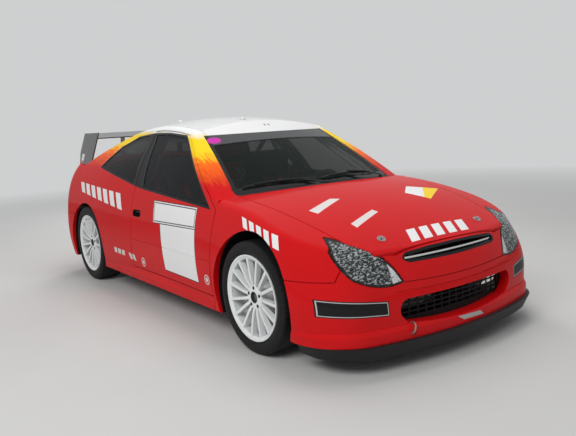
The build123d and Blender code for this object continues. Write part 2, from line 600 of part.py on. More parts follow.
# Weather seals that the doors, the bonnet and the tailgate close against
seal_skin = SEAL_FACE - SEAL_BACK
door_seal = seal_skin & (side_prism(door_outline(SEAL_LAP), ROOF_HALF_Y - 20)
                         - side_prism(door_outline(-SEAL_LAP - DOOR_BOX_BACK), 0))
bonnet_seal = seal_skin & (prism(bonnet_outline(SEAL_LAP), Plane.XY, 560, 1200)
                           - prism(bonnet_outline(-SEAL_LAP), Plane.XY, 500, 1250))
bonnet_seal = bonnet_seal & block(FIREWALL_X + FIREWALL_THICK, FAR, -FAR, FAR, 0, FAR)
gate_seal = seal_skin & (rear_prism(tailgate_outline(SEAL_LAP), HATCH_HINGE_X - 40)
                         - rear_prism(tailgate_outline(-SEAL_LAP), FAR))
gate_seal = gate_seal & block(-FAR, FAR, -FAR, FAR, BUMPER_REAR_TOP_Z, FAR)
keep("weather_seals", both(one(door_seal)) + one(bonnet_seal) + one(gate_seal))
print("seals")

# Floor: flat from the firewall to the rear axle, then up to the boot floor
FLOOR_STEP_X = REAR_AXLE_X + 440
FLOOR_TOP_Z = FLOOR_Z + FLOOR_THICK
BOOT_TOP_Z = BOOT_FLOOR_Z + FLOOR_THICK
floor_side = loop((FIREWALL_X, FLOOR_Z), (FIREWALL_X, FLOOR_TOP_Z), (FLOOR_STEP_X + 10, FLOOR_TOP_Z),
                  (FLOOR_STEP_X - 50, BOOT_TOP_Z), (TAIL_X, BOOT_TOP_Z), (TAIL_X, BOOT_FLOOR_Z),
                  (FLOOR_STEP_X - 64, BOOT_FLOOR_Z), (FLOOR_STEP_X - 4, FLOOR_Z))
floor_pan = prism(floor_side, Plane.XZ, -FAR, FAR) & INNER
keep("floor_pan", one(floor_pan - ARCHES_REAR))


AXLE = Axis((0, 0, 0), (0, 1, 0))


def yr(y, r):
    """A point of a wheel's section, y along the axle and r from it."""
    return Vector(r, y, 0)


# Wheel, drawn on the left: y from the middle of the tyre outwards, r from the axle
HALF_TYRE = TYRE_WIDTH / 2
BEAD_R = RIM_R - 13
BEAD_Y = HALF_TYRE - 14
TREAD_HALF = HALF_TYRE - 24
BARREL_IN_R = BEAD_R - 12
FLANGE_Y = HALF_TYRE - 6
HUB_R = 70
HUB_BORE_R = 20.3
AXLE_R = 20
CAP_R = 32
LUG_HOLE_R = 9
DISC_R = 150
DISC_Y = (-46, -24)
SPOKE_Y = (52, 84)
SPOKE_W = 17


def make_tyre():
    def wall(k):
        foot, bead = yr(k * BEAD_Y, BEAD_R), yr(k * BEAD_Y, RIM_R)
        shoulder, edge = yr(k * (HALF_TYRE - 5), TYRE_R - 22), yr(k * TREAD_HALF, TYRE_R - 3)
        return [Line(foot, bead), ThreePointArc(bead, yr(k * HALF_TYRE, RIM_R + 30), shoulder),
                ThreePointArc(shoulder, yr(k * (HALF_TYRE - 11), TYRE_R - 9), edge)]
    tread = [ThreePointArc(yr(-TREAD_HALF, TYRE_R - 3), yr(0, TYRE_R), yr(TREAD_HALF, TYRE_R - 3))]
    inside = [Line(yr(-BEAD_Y, BEAD_R), yr(BEAD_Y, BEAD_R))]
    return revolve(Face(Wire(wall(1) + wall(-1) + tread + inside)), AXLE, 360)


def make_rim():
    rim_edges = loop(yr(-FLANGE_Y, BARREL_IN_R), yr(-FLANGE_Y, RIM_R), yr(-BEAD_Y, RIM_R),
                     yr(-BEAD_Y, BEAD_R), yr(BEAD_Y, BEAD_R), yr(BEAD_Y, RIM_R),
                     yr(FLANGE_Y, RIM_R), yr(FLANGE_Y, RIM_R - 8), yr(FLANGE_Y - 12, BARREL_IN_R))
    barrel = revolve(Face(Wire(rim_edges)), AXLE, 360)
    disc_in, disc_out = DISC_Y
    face = SPOKE_Y[1] - 10
    hub_edges = loop(yr(disc_in, HUB_BORE_R), yr(disc_in, DISC_R), yr(disc_out, DISC_R),
                     yr(disc_out, HUB_R + 6), yr(SPOKE_Y[0], HUB_R), yr(face - 6, HUB_R),
                     yr(face, HUB_R - 8), yr(face, CAP_R), yr(face - 12, CAP_R), yr(face - 12, HUB_BORE_R))
    hub = revolve(Face(Wire(hub_edges)), AXLE, 360)
    for k in range(LUGS):
        turn = math.radians(90 + 360 / LUGS * k)
        x, z = LUG_CIRCLE_R * math.cos(turn), LUG_CIRCLE_R * math.sin(turn)
        hub -= rod((x, SPOKE_Y[1] - 30, z), (x, FAR, z), LUG_HOLE_R)
    spoke_face = loop((HUB_R - 6, SPOKE_Y[0] + 6), (HUB_R - 6, SPOKE_Y[1] - 12),
                      (HUB_R + 30, SPOKE_Y[1] - 3), (BEAD_R - 4, SPOKE_Y[1] + 8),
                      (BEAD_R - 4, SPOKE_Y[0] + 4))
    spoke = prism(spoke_face, Plane.XY, -SPOKE_W / 2, SPOKE_W / 2)
    rim = barrel + hub
    spokes = [Rot(0, 360 / SPOKES * k, 0) * spoke for k in range(SPOKES)]
    return one(rim + spokes)


TYRE = make_tyre()
RIM = make_rim()
for end, axle_x in (("front", FRONT_AXLE_X), ("rear", REAR_AXLE_X)):
    for side, sign in (("left", 1), ("right", -1)):
        for piece, shape in (("tyre", TYRE), ("rim", RIM)):
            placed = Pos(axle_x, WHEEL_Y, TYRE_R) * shape
            keep(f"{piece}_{end}_{side}", placed if sign > 0 else mirrored(placed))
print("wheels")

# Steering: the knuckle turns about the line from the lower ball joint to the strut top
BALL = (FRONT_AXLE_X, 678, 200)
STRUT_TOP = (FRONT_AXLE_X, 566, 678)
DISC_FACE = WHEEL_Y + DISC_Y[0]
STUB_END_Y = WHEEL_Y + SPOKE_Y[1] - 24


def along(p, q, t):
    return tuple(a + (b - a) * t for a, b in zip(p, q))


upright = rod(along(BALL, STRUT_TOP, 0.02), along(BALL, STRUT_TOP, 0.44), 24)
upright += rod((FRONT_AXLE_X, DISC_FACE - 42, TYRE_R), (FRONT_AXLE_X, DISC_FACE - 8, TYRE_R), 48)
upright += rod((FRONT_AXLE_X, DISC_FACE - 20, TYRE_R), (FRONT_AXLE_X, STUB_END_Y, TYRE_R), AXLE_R)
upright += rod(along(BALL, STRUT_TOP, 0.40), along(BALL, STRUT_TOP, 0.78), 27)
upright += rod(along(BALL, STRUT_TOP, 0.76), STRUT_TOP, 11)
upright += block(FRONT_AXLE_X - 60, FRONT_AXLE_X - 20, 640, 678, 292, 348)
caliper = block(FRONT_AXLE_X - 172, FRONT_AXLE_X - 96, DISC_FACE - 22, DISC_FACE + 46, 262, 388)
caliper -= rod((FRONT_AXLE_X, DISC_FACE - 6, TYRE_R), (FRONT_AXLE_X, DISC_FACE + 28, TYRE_R), DISC_R + 6)
caliper += block(FRONT_AXLE_X - 110, FRONT_AXLE_X - 30, DISC_FACE - 30, DISC_FACE - 8, 296, 344)
knuckle = one(upright + caliper)
keep("knuckle_left", knuckle)
keep("knuckle_right", mirrored(knuckle))

# Front subframe with lower arms, and the strut towers in the inner wings
ball_end = along(BALL, STRUT_TOP, 0.02)
ball_dir = Vector(*STRUT_TOP) - Vector(*BALL)
stub_top = Vector(*ball_end) - ball_dir.normalized() * 0.3
arm = rod(tuple(stub_top - ball_dir.normalized() * 38), tuple(stub_top), 14)
arm_end = tuple(stub_top - ball_dir.normalized() * 27)
arm += rod((FRONT_AXLE_X + 40, 290, 205), arm_end, 13) + rod((FRONT_AXLE_X - 160, 290, 205), arm_end, 13)
subframe = block(FRONT_AXLE_X - 190, FRONT_AXLE_X + 70, -300, 300, 186, 226)
subframe -= block(FRONT_AXLE_X - 140, FRONT_AXLE_X + 20, -200, 200, 100, 300)
rails = block(FIREWALL_X + FIREWALL_THICK, FRONT_AXLE_X + 420, 380, 430, 226, 330)
for x0, x1 in ((-190, -130), (20, 70)):
    subframe += both(block(FRONT_AXLE_X + x0, FRONT_AXLE_X + x1, 280, 430, 196, 226))
keep("front_suspension", one(subframe + both(arm)))
wing_plate = block(FIREWALL_X + FIREWALL_THICK, FRONT_AXLE_X + 420, 430, 442, 226, 660)
tower = block(FRONT_AXLE_X - 100, FRONT_AXLE_X + 100, 436, 640, 648, 660)
tower -= rod((STRUT_TOP[0], STRUT_TOP[1], 600), (STRUT_TOP[0], STRUT_TOP[1], 700), 40)
inner_wing = wing_plate + rails + tower
keep("inner_wings", both(one(inner_wing)))
print("suspension")

# Arch liners
LINER_THICK = 5


def arch_liner(centre, radius, inner_y, z_from):
    """Half a drum over a wheel, out to the inner face of the flank."""
    start, end = (centre[0], inner_y, centre[1]), (centre[0], HALF_WIDTH, centre[1])
    ring = rod(start, end, radius + LINER_THICK) - rod(start, end, radius)
    return ring & block(-FAR, FAR, -FAR, FAR, z_from, FAR) & INNER


front_liner = arch_liner(ARCH_FRONT, ARCH_FRONT_R + STEER_ROOM, ARCH_FRONT_INNER_Y, 440)
front_liner -= rod(along(BALL, STRUT_TOP, 0.6), along(BALL, STRUT_TOP, 1.6), 60)
rear_liner = arch_liner(ARCH_REAR, ARCH_REAR_R, ARCH_REAR_INNER_Y, BOOT_TOP_Z)
keep("arch_liners", both(front_liner) + both(rear_liner))

# Rear axle: beam, trailing arms, stub axles
beam = rod((REAR_AXLE_X + 60, -600, 300), (REAR_AXLE_X + 60, 600, 300), 34)
trail = rod((REAR_AXLE_X + 60, 560, 300), (REAR_AXLE_X + 440, 560, 250), 26)
hub_plate = rod((REAR_AXLE_X, 596, TYRE_R), (REAR_AXLE_X, DISC_FACE - 8, TYRE_R), 56)
stub = rod((REAR_AXLE_X, DISC_FACE - 20, TYRE_R), (REAR_AXLE_X, STUB_END_Y, TYRE_R), AXLE_R)
link = block(REAR_AXLE_X, REAR_AXLE_X + 60, 560, 612, 284, 330)
damper = rod((REAR_AXLE_X - 30, 585, 300), (REAR_AXLE_X - 30, 560, BOOT_FLOOR_Z + 8), 22)
rear_axle = beam + both(trail + hub_plate + stub + link + damper)
keep("rear_axle", one(rear_axle - PARTS["floor_pan"]))

# Engine block, across the bay in front of the firewall
keep("engine", block(FRONT_AXLE_X - 180, FRONT_AXLE_X + 330, -310, 310, 226, 640))

# Grilles behind their openings, splitter, exhaust
SPLITTER_HALF_Y = 838
SPLITTER_BOTTOM_Z = 92


def splitter_face(z, back):
    """Plan outline of the splitter at one level, set back from its widest."""
    nose = NOSE_X + SPLITTER_REACH - back
    half = SPLITTER_HALF_Y - back
    corner_x = nose - half ** 2 / (2 * NOSE_BOW_R)
    rear_x = FRONT_AXLE_X + 372
    sides = [Line((rear_x, half), (rear_x, -half)), Line((rear_x, -half), (corner_x, -half))]
    bow = ThreePointArc((corner_x, -half), (nose, 0), (corner_x, half))
    face = Face(Wire(sides + [bow, Line((corner_x, half), (rear_x, half))]))
    corners = [v for v in face.vertices() if v.X > rear_x + 5]
    return Pos(0, 0, z) * face.fillet_2d(320 - back, corners).outer_wire()


keep("splitter", Solid.make_loft([splitter_face(SPLITTER_BOTTOM_Z, 34), splitter_face(RIDE, 0)]))
MUFFLER_X = (REAR_AXLE_X - 420, REAR_AXLE_X - 250)
MUFFLER_Z = TAILPIPE_Z + 35
tailpipe = rod((TAIL_X + 10, TAILPIPE_Y, TAILPIPE_Z), (MUFFLER_X[0], TAILPIPE_Y, TAILPIPE_Z), TAILPIPE_R)
tailpipe -= rod((TAIL_X, TAILPIPE_Y, TAILPIPE_Z), (TAIL_X + 120, TAILPIPE_Y, TAILPIPE_Z), TAILPIPE_R - 6)
muffler = rod((MUFFLER_X[0], TAILPIPE_Y, MUFFLER_Z), (MUFFLER_X[1], TAILPIPE_Y, MUFFLER_Z), 60)
hanger = block(REAR_AXLE_X - 360, REAR_AXLE_X - 320, TAILPIPE_Y - 20, TAILPIPE_Y + 20,
               MUFFLER_Z + 30, BOOT_FLOOR_Z)
keep("exhaust", one(tailpipe + muffler + hanger))

# Rear wing on the tailgate
WING_X = (REAR_AXLE_X - 230, REAR_AXLE_X - 560)
wing_side = [ThreePointArc((WING_X[0], 1216), ((WING_X[0] + WING_X[1]) / 2, 1236), (WING_X[1], 1258)),
             Line((WING_X[1], 1258), (WING_X[1] - 4, 1250)),
             ThreePointArc((WING_X[1] - 4, 1250), ((WING_X[0] + WING_X[1]) / 2, 1212), (WING_X[0], 1208)),
             Line((WING_X[0], 1208), (WING_X[0], 1216))]
wing = prism(wing_side, Plane.XZ, -604, 604)
plate_front = loop((600, 1262), (612, 1262), (708, 976), (708, 880), (696, 880), (696, 976))
plate = prism(plate_front, Plane.YZ, WING_X[1] - 10, WING_X[0] + 10)
plate_notch = loop((WING_X[1] - 20, 1100), (WING_X[1] - 20, 800), (WING_X[1] + 60, 800),
                   (WING_X[1] + 40, 1000))
plate -= prism(plate_notch, Plane.XZ, -FAR, 0)
plate = plate - HULL_REAR
fin_side = loop((WING_X[1] + 150, 900), (WING_X[1] + 40, 900), (WING_X[1] + 90, 1230),
                (WING_X[1] + 170, 1226))
fin = prism(fin_side, Plane.XZ, -304, -296)
rear_wing = wing + both(plate) + (both(fin) - HULL_REAR)
keep("rear_wing", one(rear_wing))
print("wing")

# Cabin: dashboard, steering wheel, seats, roll cage
DASH_HALF_Y = 625
dash_side = loop((FIREWALL_X, 790), (FIREWALL_X, 560), (DOOR_FRONT_X - 190, 560), (DOOR_FRONT_X - 280, 680),
                 (DOOR_FRONT_X - 270, 770), (DOOR_FRONT_X - 160, 815))
keep("dashboard", prism(dash_side, Plane.XZ, -DASH_HALF_Y, DASH_HALF_Y))
STEERING_HUB = Vector(DOOR_FRONT_X - 400, 330, 745)
STEERING_R = 165


def make_steering_wheel():
    """Ring, hub, three flat spokes and the column, drawn about Z and leaned back."""
    wheel = revolve(Plane.XZ * Pos(STEERING_R, 0) * Circle(15), Axis.Z, 360)
    wheel += Pos(0, 0, -12) * Cylinder(40, 24) + Pos(0, 0, 74) * Cylinder(22, 148)
    for k in range(3):
        wheel += Rot(0, 0, 90 + 120 * k) * Pos(STEERING_R / 2 + 8, 0, -8) * Box(STEERING_R - 25, 24, 7)
    return Plane(STEERING_HUB, z_dir=Vector(0.9, 0, -0.42)) * wheel


keep("steering_wheel", one(make_steering_wheel() - PARTS["dashboard"]))


def make_seat():
    """Bucket seat, origin on the floor under its middle."""
    shell = loop((250, 110), (250, 190), (60, 160), (-180, 140), (-235, 200), (-400, 760),
                 (-450, 760), (-300, 120), (-240, 80), (200, 80))
    cheek_side = loop((230, 100), (240, 225), (-60, 225), (-150, 330), (-220, 520), (-400, 640),
                      (-300, 120), (-240, 80), (200, 80))
    head_side = loop((-330, 640), (-300, 820), (-380, 850), (-450, 850), (-430, 700))
    seat = prism(shell, Plane.XZ, -200, 200) + prism(head_side, Plane.XZ, -160, 160)
    seat += both(prism(cheek_side, Plane.XZ, 200, 250))
    return one(seat + both(block(-220, 180, 190, 220, 0, 90)))


SEAT = make_seat()
SEAT_X = DOOR_FRONT_X - 760
SEAT_Y = 370
keep("seats", both(Pos(SEAT_X, SEAT_Y, FLOOR_TOP_Z) * SEAT))

TUBE_R = 20
cage_points = dict(
    foot_front=(DOOR_FRONT_X - 90, 700, FLOOR_TOP_Z), knee=(DOOR_FRONT_X - 110, 690, 760),
    brow=(DOOR_FRONT_X - 680, 500, 1160), hoop_top=(DOOR_REAR_X - 60, 480, 1190),
    hoop_foot=(DOOR_REAR_X - 60, 700, FLOOR_TOP_Z), hoop_mid=(DOOR_REAR_X - 60, 690, 800),
    stay=(REAR_AXLE_X - 60, 560, BOOT_TOP_Z))


def tube_run(*names):
    points = [cage_points[name] for name in names]
    run = None
    for p, q in zip(points, points[1:]):
        bar = rod(p, q, TUBE_R)
        run = bar if run is None else run + bar
    for p in points[1:-1]:
        run += Pos(*p) * Sphere(TUBE_R)
    return run


half_cage = tube_run("foot_front", "knee", "brow", "hoop_top", "hoop_mid", "hoop_foot")
half_cage += tube_run("hoop_top", "stay")
cage = both(half_cage)
for name in ("brow", "hoop_top"):
    x, y, z = cage_points[name]
    cage += rod((x, -y, z), (x, y, z), TUBE_R)
x, y, z = cage_points["hoop_mid"]
cage += rod((x, -y, z), (x, y, z), TUBE_R)
keep("roll_cage", one(cage - PARTS["floor_pan"]))
print("cabin")

os.makedirs("parts", exist_ok=True)
for old in os.listdir("parts"):
    os.remove(os.path.join("parts", old))
for name, shape in PARTS.items():
    export_step(shape, os.path.join("parts", name + ".step"))
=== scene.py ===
import math

import bmesh
import bpy
from mathutils import Matrix, Vector
from mathutils.bvhtree import BVHTree


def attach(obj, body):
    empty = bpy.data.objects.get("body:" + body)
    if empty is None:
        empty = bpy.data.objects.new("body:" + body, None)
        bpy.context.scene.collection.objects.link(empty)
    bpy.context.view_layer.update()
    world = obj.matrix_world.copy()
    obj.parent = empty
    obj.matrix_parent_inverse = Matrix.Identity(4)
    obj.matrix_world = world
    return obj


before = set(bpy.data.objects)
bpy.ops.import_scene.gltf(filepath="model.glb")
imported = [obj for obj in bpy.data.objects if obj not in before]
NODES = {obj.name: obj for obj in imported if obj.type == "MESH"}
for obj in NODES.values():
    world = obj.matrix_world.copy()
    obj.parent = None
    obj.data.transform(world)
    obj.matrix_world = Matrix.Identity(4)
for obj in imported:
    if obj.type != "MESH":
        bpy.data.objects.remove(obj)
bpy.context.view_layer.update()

# Where the photograph was taken from
PHOTO_WIDTH_PX = 576
FOCAL_PX = 638.4
SENSOR_MM = 36.0
CAMERA_AT = Vector((4.155, -2.678, 1.269))
CAMERA_YAW = math.radians(143.98)
CAMERA_PITCH = math.radians(-8.57)
CAMERA_ROLL = math.radians(-3.13)

# Places that the livery and the added pieces share
FRONT_AXLE_X = 1.2615
REAR_AXLE_X = -1.2935
WHEEL_Y = 0.762
TYRE_R = 0.320
DISC_R = 0.152
DISC_Y = (0.71, 0.741)
LUG_CIRCLE_R = 0.054
LUGS = 5
SIDES = (("left", 1), ("right", -1))
ENDS = (("front", FRONT_AXLE_X), ("rear", REAR_AXLE_X))
SCREEN_MID = (0.6395, 1.030)
SCREEN_SLOPE = math.radians(30.1)
SCREEN_FOOT = 0.36
FOOT_BOW = 0.2627
HANDLE = (-0.2515, 0.666)
GRILLE_HALF_Y = 0.395
NOSE_FROM_X = 1.5


def make_camera():
    """The photograph's own viewpoint."""
    forward = Vector((math.cos(CAMERA_PITCH) * math.cos(CAMERA_YAW),
                      math.cos(CAMERA_PITCH) * math.sin(CAMERA_YAW), math.sin(CAMERA_PITCH)))
    right = forward.cross(Vector((0, 0, 1))).normalized()
    up = right.cross(forward)
    c, s = math.cos(CAMERA_ROLL), math.sin(CAMERA_ROLL)
    right, up = right * c + up * s, up * c - right * s
    camera = bpy.data.cameras.new("camera")
    camera.sensor_width = SENSOR_MM
    camera.lens = SENSOR_MM * FOCAL_PX / PHOTO_WIDTH_PX
    camera.clip_end = 100
    holder = bpy.data.objects.new("camera", camera)
    bpy.context.scene.collection.objects.link(holder)
    turn = Matrix((right, up, -forward)).transposed().to_4x4()
    holder.matrix_world = Matrix.Translation(CAMERA_AT) @ turn
    bpy.context.scene.camera = holder


# Shader arithmetic: a Field is a number that varies over a surface
class Field:
    def __init__(self, tree, socket):
        self.tree, self.socket = tree, socket

    def join(self, operation, *others):
        node = self.tree.nodes.new("ShaderNodeMath")
        node.operation = operation
        for slot, value in zip(node.inputs, (self,) + others):
            if isinstance(value, Field):
                self.tree.links.new(value.socket, slot)
            else:
                slot.default_value = value
        return Field(self.tree, node.outputs[0])

    def __add__(self, other):
        return self.join("ADD", other)

    def __sub__(self, other):
        return self.join("SUBTRACT", other)

    def __mul__(self, other):
        return self.join("MULTIPLY", other)

    def __rsub__(self, other):
        return self.join("MULTIPLY", -1.0).join("ADD", other)

    def __neg__(self):
        return self.join("MULTIPLY", -1.0)

    def big(self, other):
        return self.join("MAXIMUM", other)

    def small(self, other):
        return self.join("MINIMUM", other)

    def abs(self):
        return self.join("ABSOLUTE")

    def root(self):
        return self.join("SQRT")

    def fract(self):
        return self.join("FRACT")

    def sine(self):
        return self.join("SINE")

    def clamp(self):
        node = self.tree.nodes.new("ShaderNodeClamp")
        self.tree.links.new(self.socket, node.inputs[0])
        return Field(self.tree, node.outputs[0])

    def ramp(self, low, high):
        """0 below low, 1 above high, straight between."""
        return ((self - low) * (1.0 / (high - low))).clamp()

    def inside(self, soft=0.0012):
        """1 where the field is negative, with an edge as wide as soft."""
        return (0.5 - self * (1.0 / soft)).clamp()

    def line(self, width, soft=0.0012):
        """1 along the field's zero line."""
        return (self.abs() - width / 2).inside(soft)


class Shade:
    """One procedural material: its coordinates, textures and Principled shader."""

    def __init__(self, name, **values):
        self.material = bpy.data.materials.new(name)
        self.material.use_nodes = True
        self.tree = self.material.node_tree
        self.shader = self.tree.nodes["Principled BSDF"]
        for key, value in values.items():
            self.put(key.replace("_", " ").title().replace("Ior", "IOR"), value)
        self.coords = self.tree.nodes.new("ShaderNodeTexCoord")
        split = self.tree.nodes.new("ShaderNodeSeparateXYZ")
        self.tree.links.new(self.coords.outputs["Object"], split.inputs[0])
        self.x, self.y, self.z = (Field(self.tree, split.outputs[k]) for k in range(3))
        self.side = self.y.abs()

    def put(self, socket, value):
        slot = self.shader.inputs[socket]
        if isinstance(value, Field):
            self.tree.links.new(value.socket, slot)
        elif hasattr(value, "is_linked"):
            self.tree.links.new(value, slot)
        elif isinstance(value, (tuple, list)) and len(value) == 3:
            slot.default_value = (*value, 1)
        else:
            slot.default_value = value

    def noise(self, scale, detail=2.0, rough=0.5, stretch=None):
        node = self.tree.nodes.new("ShaderNodeTexNoise")
        node.inputs["Scale"].default_value = scale
        node.inputs["Detail"].default_value = detail
        node.inputs["Roughness"].default_value = rough
        self.tree.links.new(self.stretched(stretch), node.inputs["Vector"])
        return Field(self.tree, node.outputs["Fac"])

    def voronoi(self, scale):
        node = self.tree.nodes.new("ShaderNodeTexVoronoi")
        node.inputs["Scale"].default_value = scale
        self.tree.links.new(self.coords.outputs["Object"], node.inputs["Vector"])
        return node

    def cells(self, scale):
        """Distance to the middle of each cell."""
        return Field(self.tree, self.voronoi(scale).outputs["Distance"])

    def cell_tint(self, scale):
        """A random value for each cell."""
        node = self.voronoi(scale)
        split = self.tree.nodes.new("ShaderNodeSeparateColor")
        self.tree.links.new(node.outputs["Color"], split.inputs[0])
        return Field(self.tree, split.outputs[0])

    def stretched(self, factors):
        if factors is None:
            return self.coords.outputs["Object"]
        node = self.tree.nodes.new("ShaderNodeVectorMath")
        node.operation = "MULTIPLY"
        node.inputs[1].default_value = factors
        self.tree.links.new(self.coords.outputs["Object"], node.inputs[0])
        return node.outputs[0]

    def mix(self, under, over, mask):
        """Colour over laid on colour under where the mask is 1."""
        node = self.tree.nodes.new("ShaderNodeMix")
        node.data_type = "RGBA"
        for slot, value in ((6, under), (7, over)):
            if isinstance(value, (tuple, list)):
                node.inputs[slot].default_value = (*value[:3], 1)
            else:
                self.tree.links.new(value, node.inputs[slot])
        self.tree.links.new(mask.socket, node.inputs[0])
        return node.outputs[2]

    def tint(self, under, over, mask):
        """Makes the mix of two colours the base colour."""
        self.put("Base Color", self.mix(under, over, mask))

    def bump(self, height, distance, strength=1.0):
        node = self.tree.nodes.new("ShaderNodeBump")
        node.inputs["Distance"].default_value = distance
        node.inputs["Strength"].default_value = strength
        self.tree.links.new(height.socket, node.inputs["Height"])
        self.put("Normal", node.outputs[0])

    def wheel(self, axle_x):
        """Radius and angle round a wheel's axle."""
        dx, dz = self.x - axle_x, self.z - TYRE_R
        return (dx * dx + dz * dz).root(), dz.join("ARCTAN2", dx)

    def fresnel(self):
        node = self.tree.nodes.new("ShaderNodeFresnel")
        node.inputs["IOR"].default_value = GLASS_IOR
        return Field(self.tree, node.outputs[0])


def dress(node, material, pick=None, other=None):
    """Gives a CAD node its finish, and the faces that pick chooses the other one."""
    mesh = NODES[node].data
    mesh.materials.clear()
    mesh.materials.append(material)
    if other is not None:
        mesh.materials.append(other)
    for face in mesh.polygons:
        face.material_index = int(pick is not None and pick(face.center))


GLASS_IOR = 1.5

# Colours, linear
RED = (0.60, 0.004, 0.006)
ORANGE = (0.88, 0.14, 0.004)
YELLOW = (0.90, 0.62, 0.008)
WHITE = (0.80, 0.80, 0.80)
BLACK = (0.010, 0.010, 0.011)
MAGENTA = (0.55, 0.02, 0.36)
DARK = (0.03, 0.03, 0.032)


def polygon(u, v, points):
    """Signed distance to a convex outline, its points anticlockwise in (u, v)."""
    result = None
    for (u0, v0), (u1, v1) in zip(points, points[1:] + points[:1]):
        length = math.hypot(u1 - u0, v1 - v0)
        nu, nv = (v1 - v0) / length, -(u1 - u0) / length
        side = u * nu + v * nv - (u0 * nu + v0 * nv)
        result = side if result is None else result.big(side)
    return result


def bars(u, v, start, end, height, count, lean=0.3, fill=0.66):
    """A row of plain slanted bars from start to end, height being (at the start, at the end)."""
    (u0, v0), (u1, v1) = start, end
    length = math.hypot(u1 - u0, v1 - v0)
    du, dv = (u1 - u0) / length, (v1 - v0) / length
    along = ((u - u0) * du + (v - v0) * dv) * (1 / length)
    across = (u - u0) * -dv + (v - v0) * du
    half = along * ((height[1] - height[0]) / 2) + height[0] / 2
    across = across.join("DIVIDE", half)
    phase = along * count + across * lean
    mask = ((phase.fract() - 0.5).abs() - fill / 2) * (length / count)
    mask = mask.big((across.abs() - 1) * (height[0] / 2))
    return mask.big(((phase - count / 2).abs() - count / 2) * (length / count)).inside(0.002)


def paint(name, layers=()):
    """Glossy car paint; each layer takes the shade and a colour and returns a colour."""
    shade = Shade(name, roughness=0.5, coat_weight=0.26, coat_roughness=0.03,
                  specular_ior_level=0.05)
    tint = shade.noise(3.0, 3.0).ramp(0.3, 0.7)
    colour = shade.mix(tuple(0.93 * k for k in RED), RED, tint)
    for layer in layers:
        colour = layer(shade, colour)
    shade.put("Base Color", colour)
    shade.bump(shade.noise(900.0, 1.0), 0.00004, 0.35)
    return shade.material


# Window line in side view (x, z), anticlockwise: door glass, black pillar and quarter glass
WINDOW_LINE = [(0.806, 0.770), (0.700, 0.842), (0.133, 1.214), (-0.14, 1.235), (-0.377, 1.238),
               (-0.495, 1.233), (-0.754, 1.214), (-0.986, 1.139), (-1.144, 0.973), (-0.39, 0.859),
               (-0.217, 0.838)]
DOOR_GLASS_LINE = [(0.772, 0.786), (0.134, 1.198), (-0.139, 1.218), (-0.377, 1.221),
                   (-0.217, 0.852)]
QUARTER_GLASS_LINE = [(-0.392, 0.874), (-0.495, 1.216), (-0.754, 1.199), (-0.976, 1.127),
                      (-1.124, 0.978)]


def fade(shade, colour):
    """White roof edge that fades through yellow and orange into red down the pillars."""
    level = shade.z + shade.x * 0.045
    streak = shade.noise(70.0, 2.0, stretch=(0.15, 1.0, 0.15)) - 0.5
    t = level + streak * 0.13
    colour = shade.mix(colour, ORANGE, t.ramp(0.93, 1.04))
    colour = shade.mix(colour, YELLOW, t.ramp(1.05, 1.11))
    return shade.mix(colour, WHITE, (level + streak * 0.05).ramp(1.195, 1.235))


def window_surround(shade, colour):
    """Everything between the side windows is black, with thin grey edges."""
    inside = polygon(shade.x, shade.z, WINDOW_LINE)
    colour = shade.mix(colour, BLACK, inside.inside())
    edges = polygon(shade.x, shade.z, DOOR_GLASS_LINE) - 0.010
    other = polygon(shade.x, shade.z, QUARTER_GLASS_LINE) - 0.010
    lines = edges.line(0.003).big(other.line(0.003)) * (shade.z - 0.9).ramp(-0.1, 0.1)
    return shade.mix(colour, (0.09, 0.095, 0.10), lines * inside.inside())


# Blank labels and panels, in side view
WING_LABEL = [(-1.785, 0.985), (-1.725, 0.985), (-1.735, 1.075), (-1.800, 1.075)]
PANEL_TOP = [(0.036, 0.626), (0.652, 0.640), (0.640, 0.772), (0.014, 0.776)]
PANEL = [(0.205, 0.316), (0.697, 0.312), (0.652, 0.640), (0.146, 0.627)]


def door_panel(shade, colour):
    """Blank white panel with a black outline, and a wider blank one above it."""
    outside = (shade.side - 0.795).ramp(0, 0.002)
    low = polygon(shade.x, shade.z, PANEL)
    top = polygon(shade.x, shade.z, PANEL_TOP)
    colour = shade.mix(colour, WHITE, low.small(top).inside() * outside)
    lines = low.line(0.005).big(top.line(0.005)).big((top + 0.013).line(0.006))
    return shade.mix(colour, BLACK, lines * outside)


def side_bars(shade, colour):
    """Plain white bars where the rear quarter and the front wing carry words."""
    rear = bars(shade.x, shade.z, (-1.46, 0.806), (-0.53, 0.728), (0.075, 0.118), 7)
    front = bars(shade.x, shade.z, (1.165, 0.737), (1.545, 0.656), (0.046, 0.062), 5)
    return shade.mix(colour, WHITE, rear.big(front))


def sill_marks(shade, colour):
    """Small plain marks low on the door, and one behind the front wheel."""
    outside = (shade.side - 0.83).ramp(0, 0.002)
    marks = bars(shade.x, shade.z, (-0.690, 0.347), (-0.480, 0.340), (0.040, 0.040), 3, 0.0, 0.72)
    more = bars(shade.x, shade.z, (-0.410, 0.333), (-0.290, 0.329), (0.044, 0.044), 2, 0.25, 0.7)
    marks = marks.big(more)
    for cx, cz, radius in ((-0.160, 0.316, 0.030), (0.812, 0.352, 0.028)):
        dx, dz = shade.x - cx, shade.z - cz
        far = (dx * dx + dz * dz).root()
        marks = marks.big((far - radius).line(0.007)).big((far - radius * 0.55).inside())
    return shade.mix(colour, (0.62, 0.60, 0.58), marks * outside)


def handle_recess_and_shade(shade, colour):
    """The handle recess is black, and the red pull in it is painted black too as painted shade."""
    dx = ((shade.x - HANDLE[0]).abs() - 0.042).big(0.0)
    dz = shade.z - HANDLE[1]
    # Painted shade: the whole recess, the pull in it included, is painted black
    return shade.mix(colour, BLACK, ((dx * dx + dz * dz).root() - 0.026).inside())


# Wheel arches in side view: x and z of the middle, radius, and where the painted lip begins in y
ARCHES = ((FRONT_AXLE_X + 0.012, 0.314, 0.380, 0.846), (REAR_AXLE_X, 0.295, 0.375, 0.858))


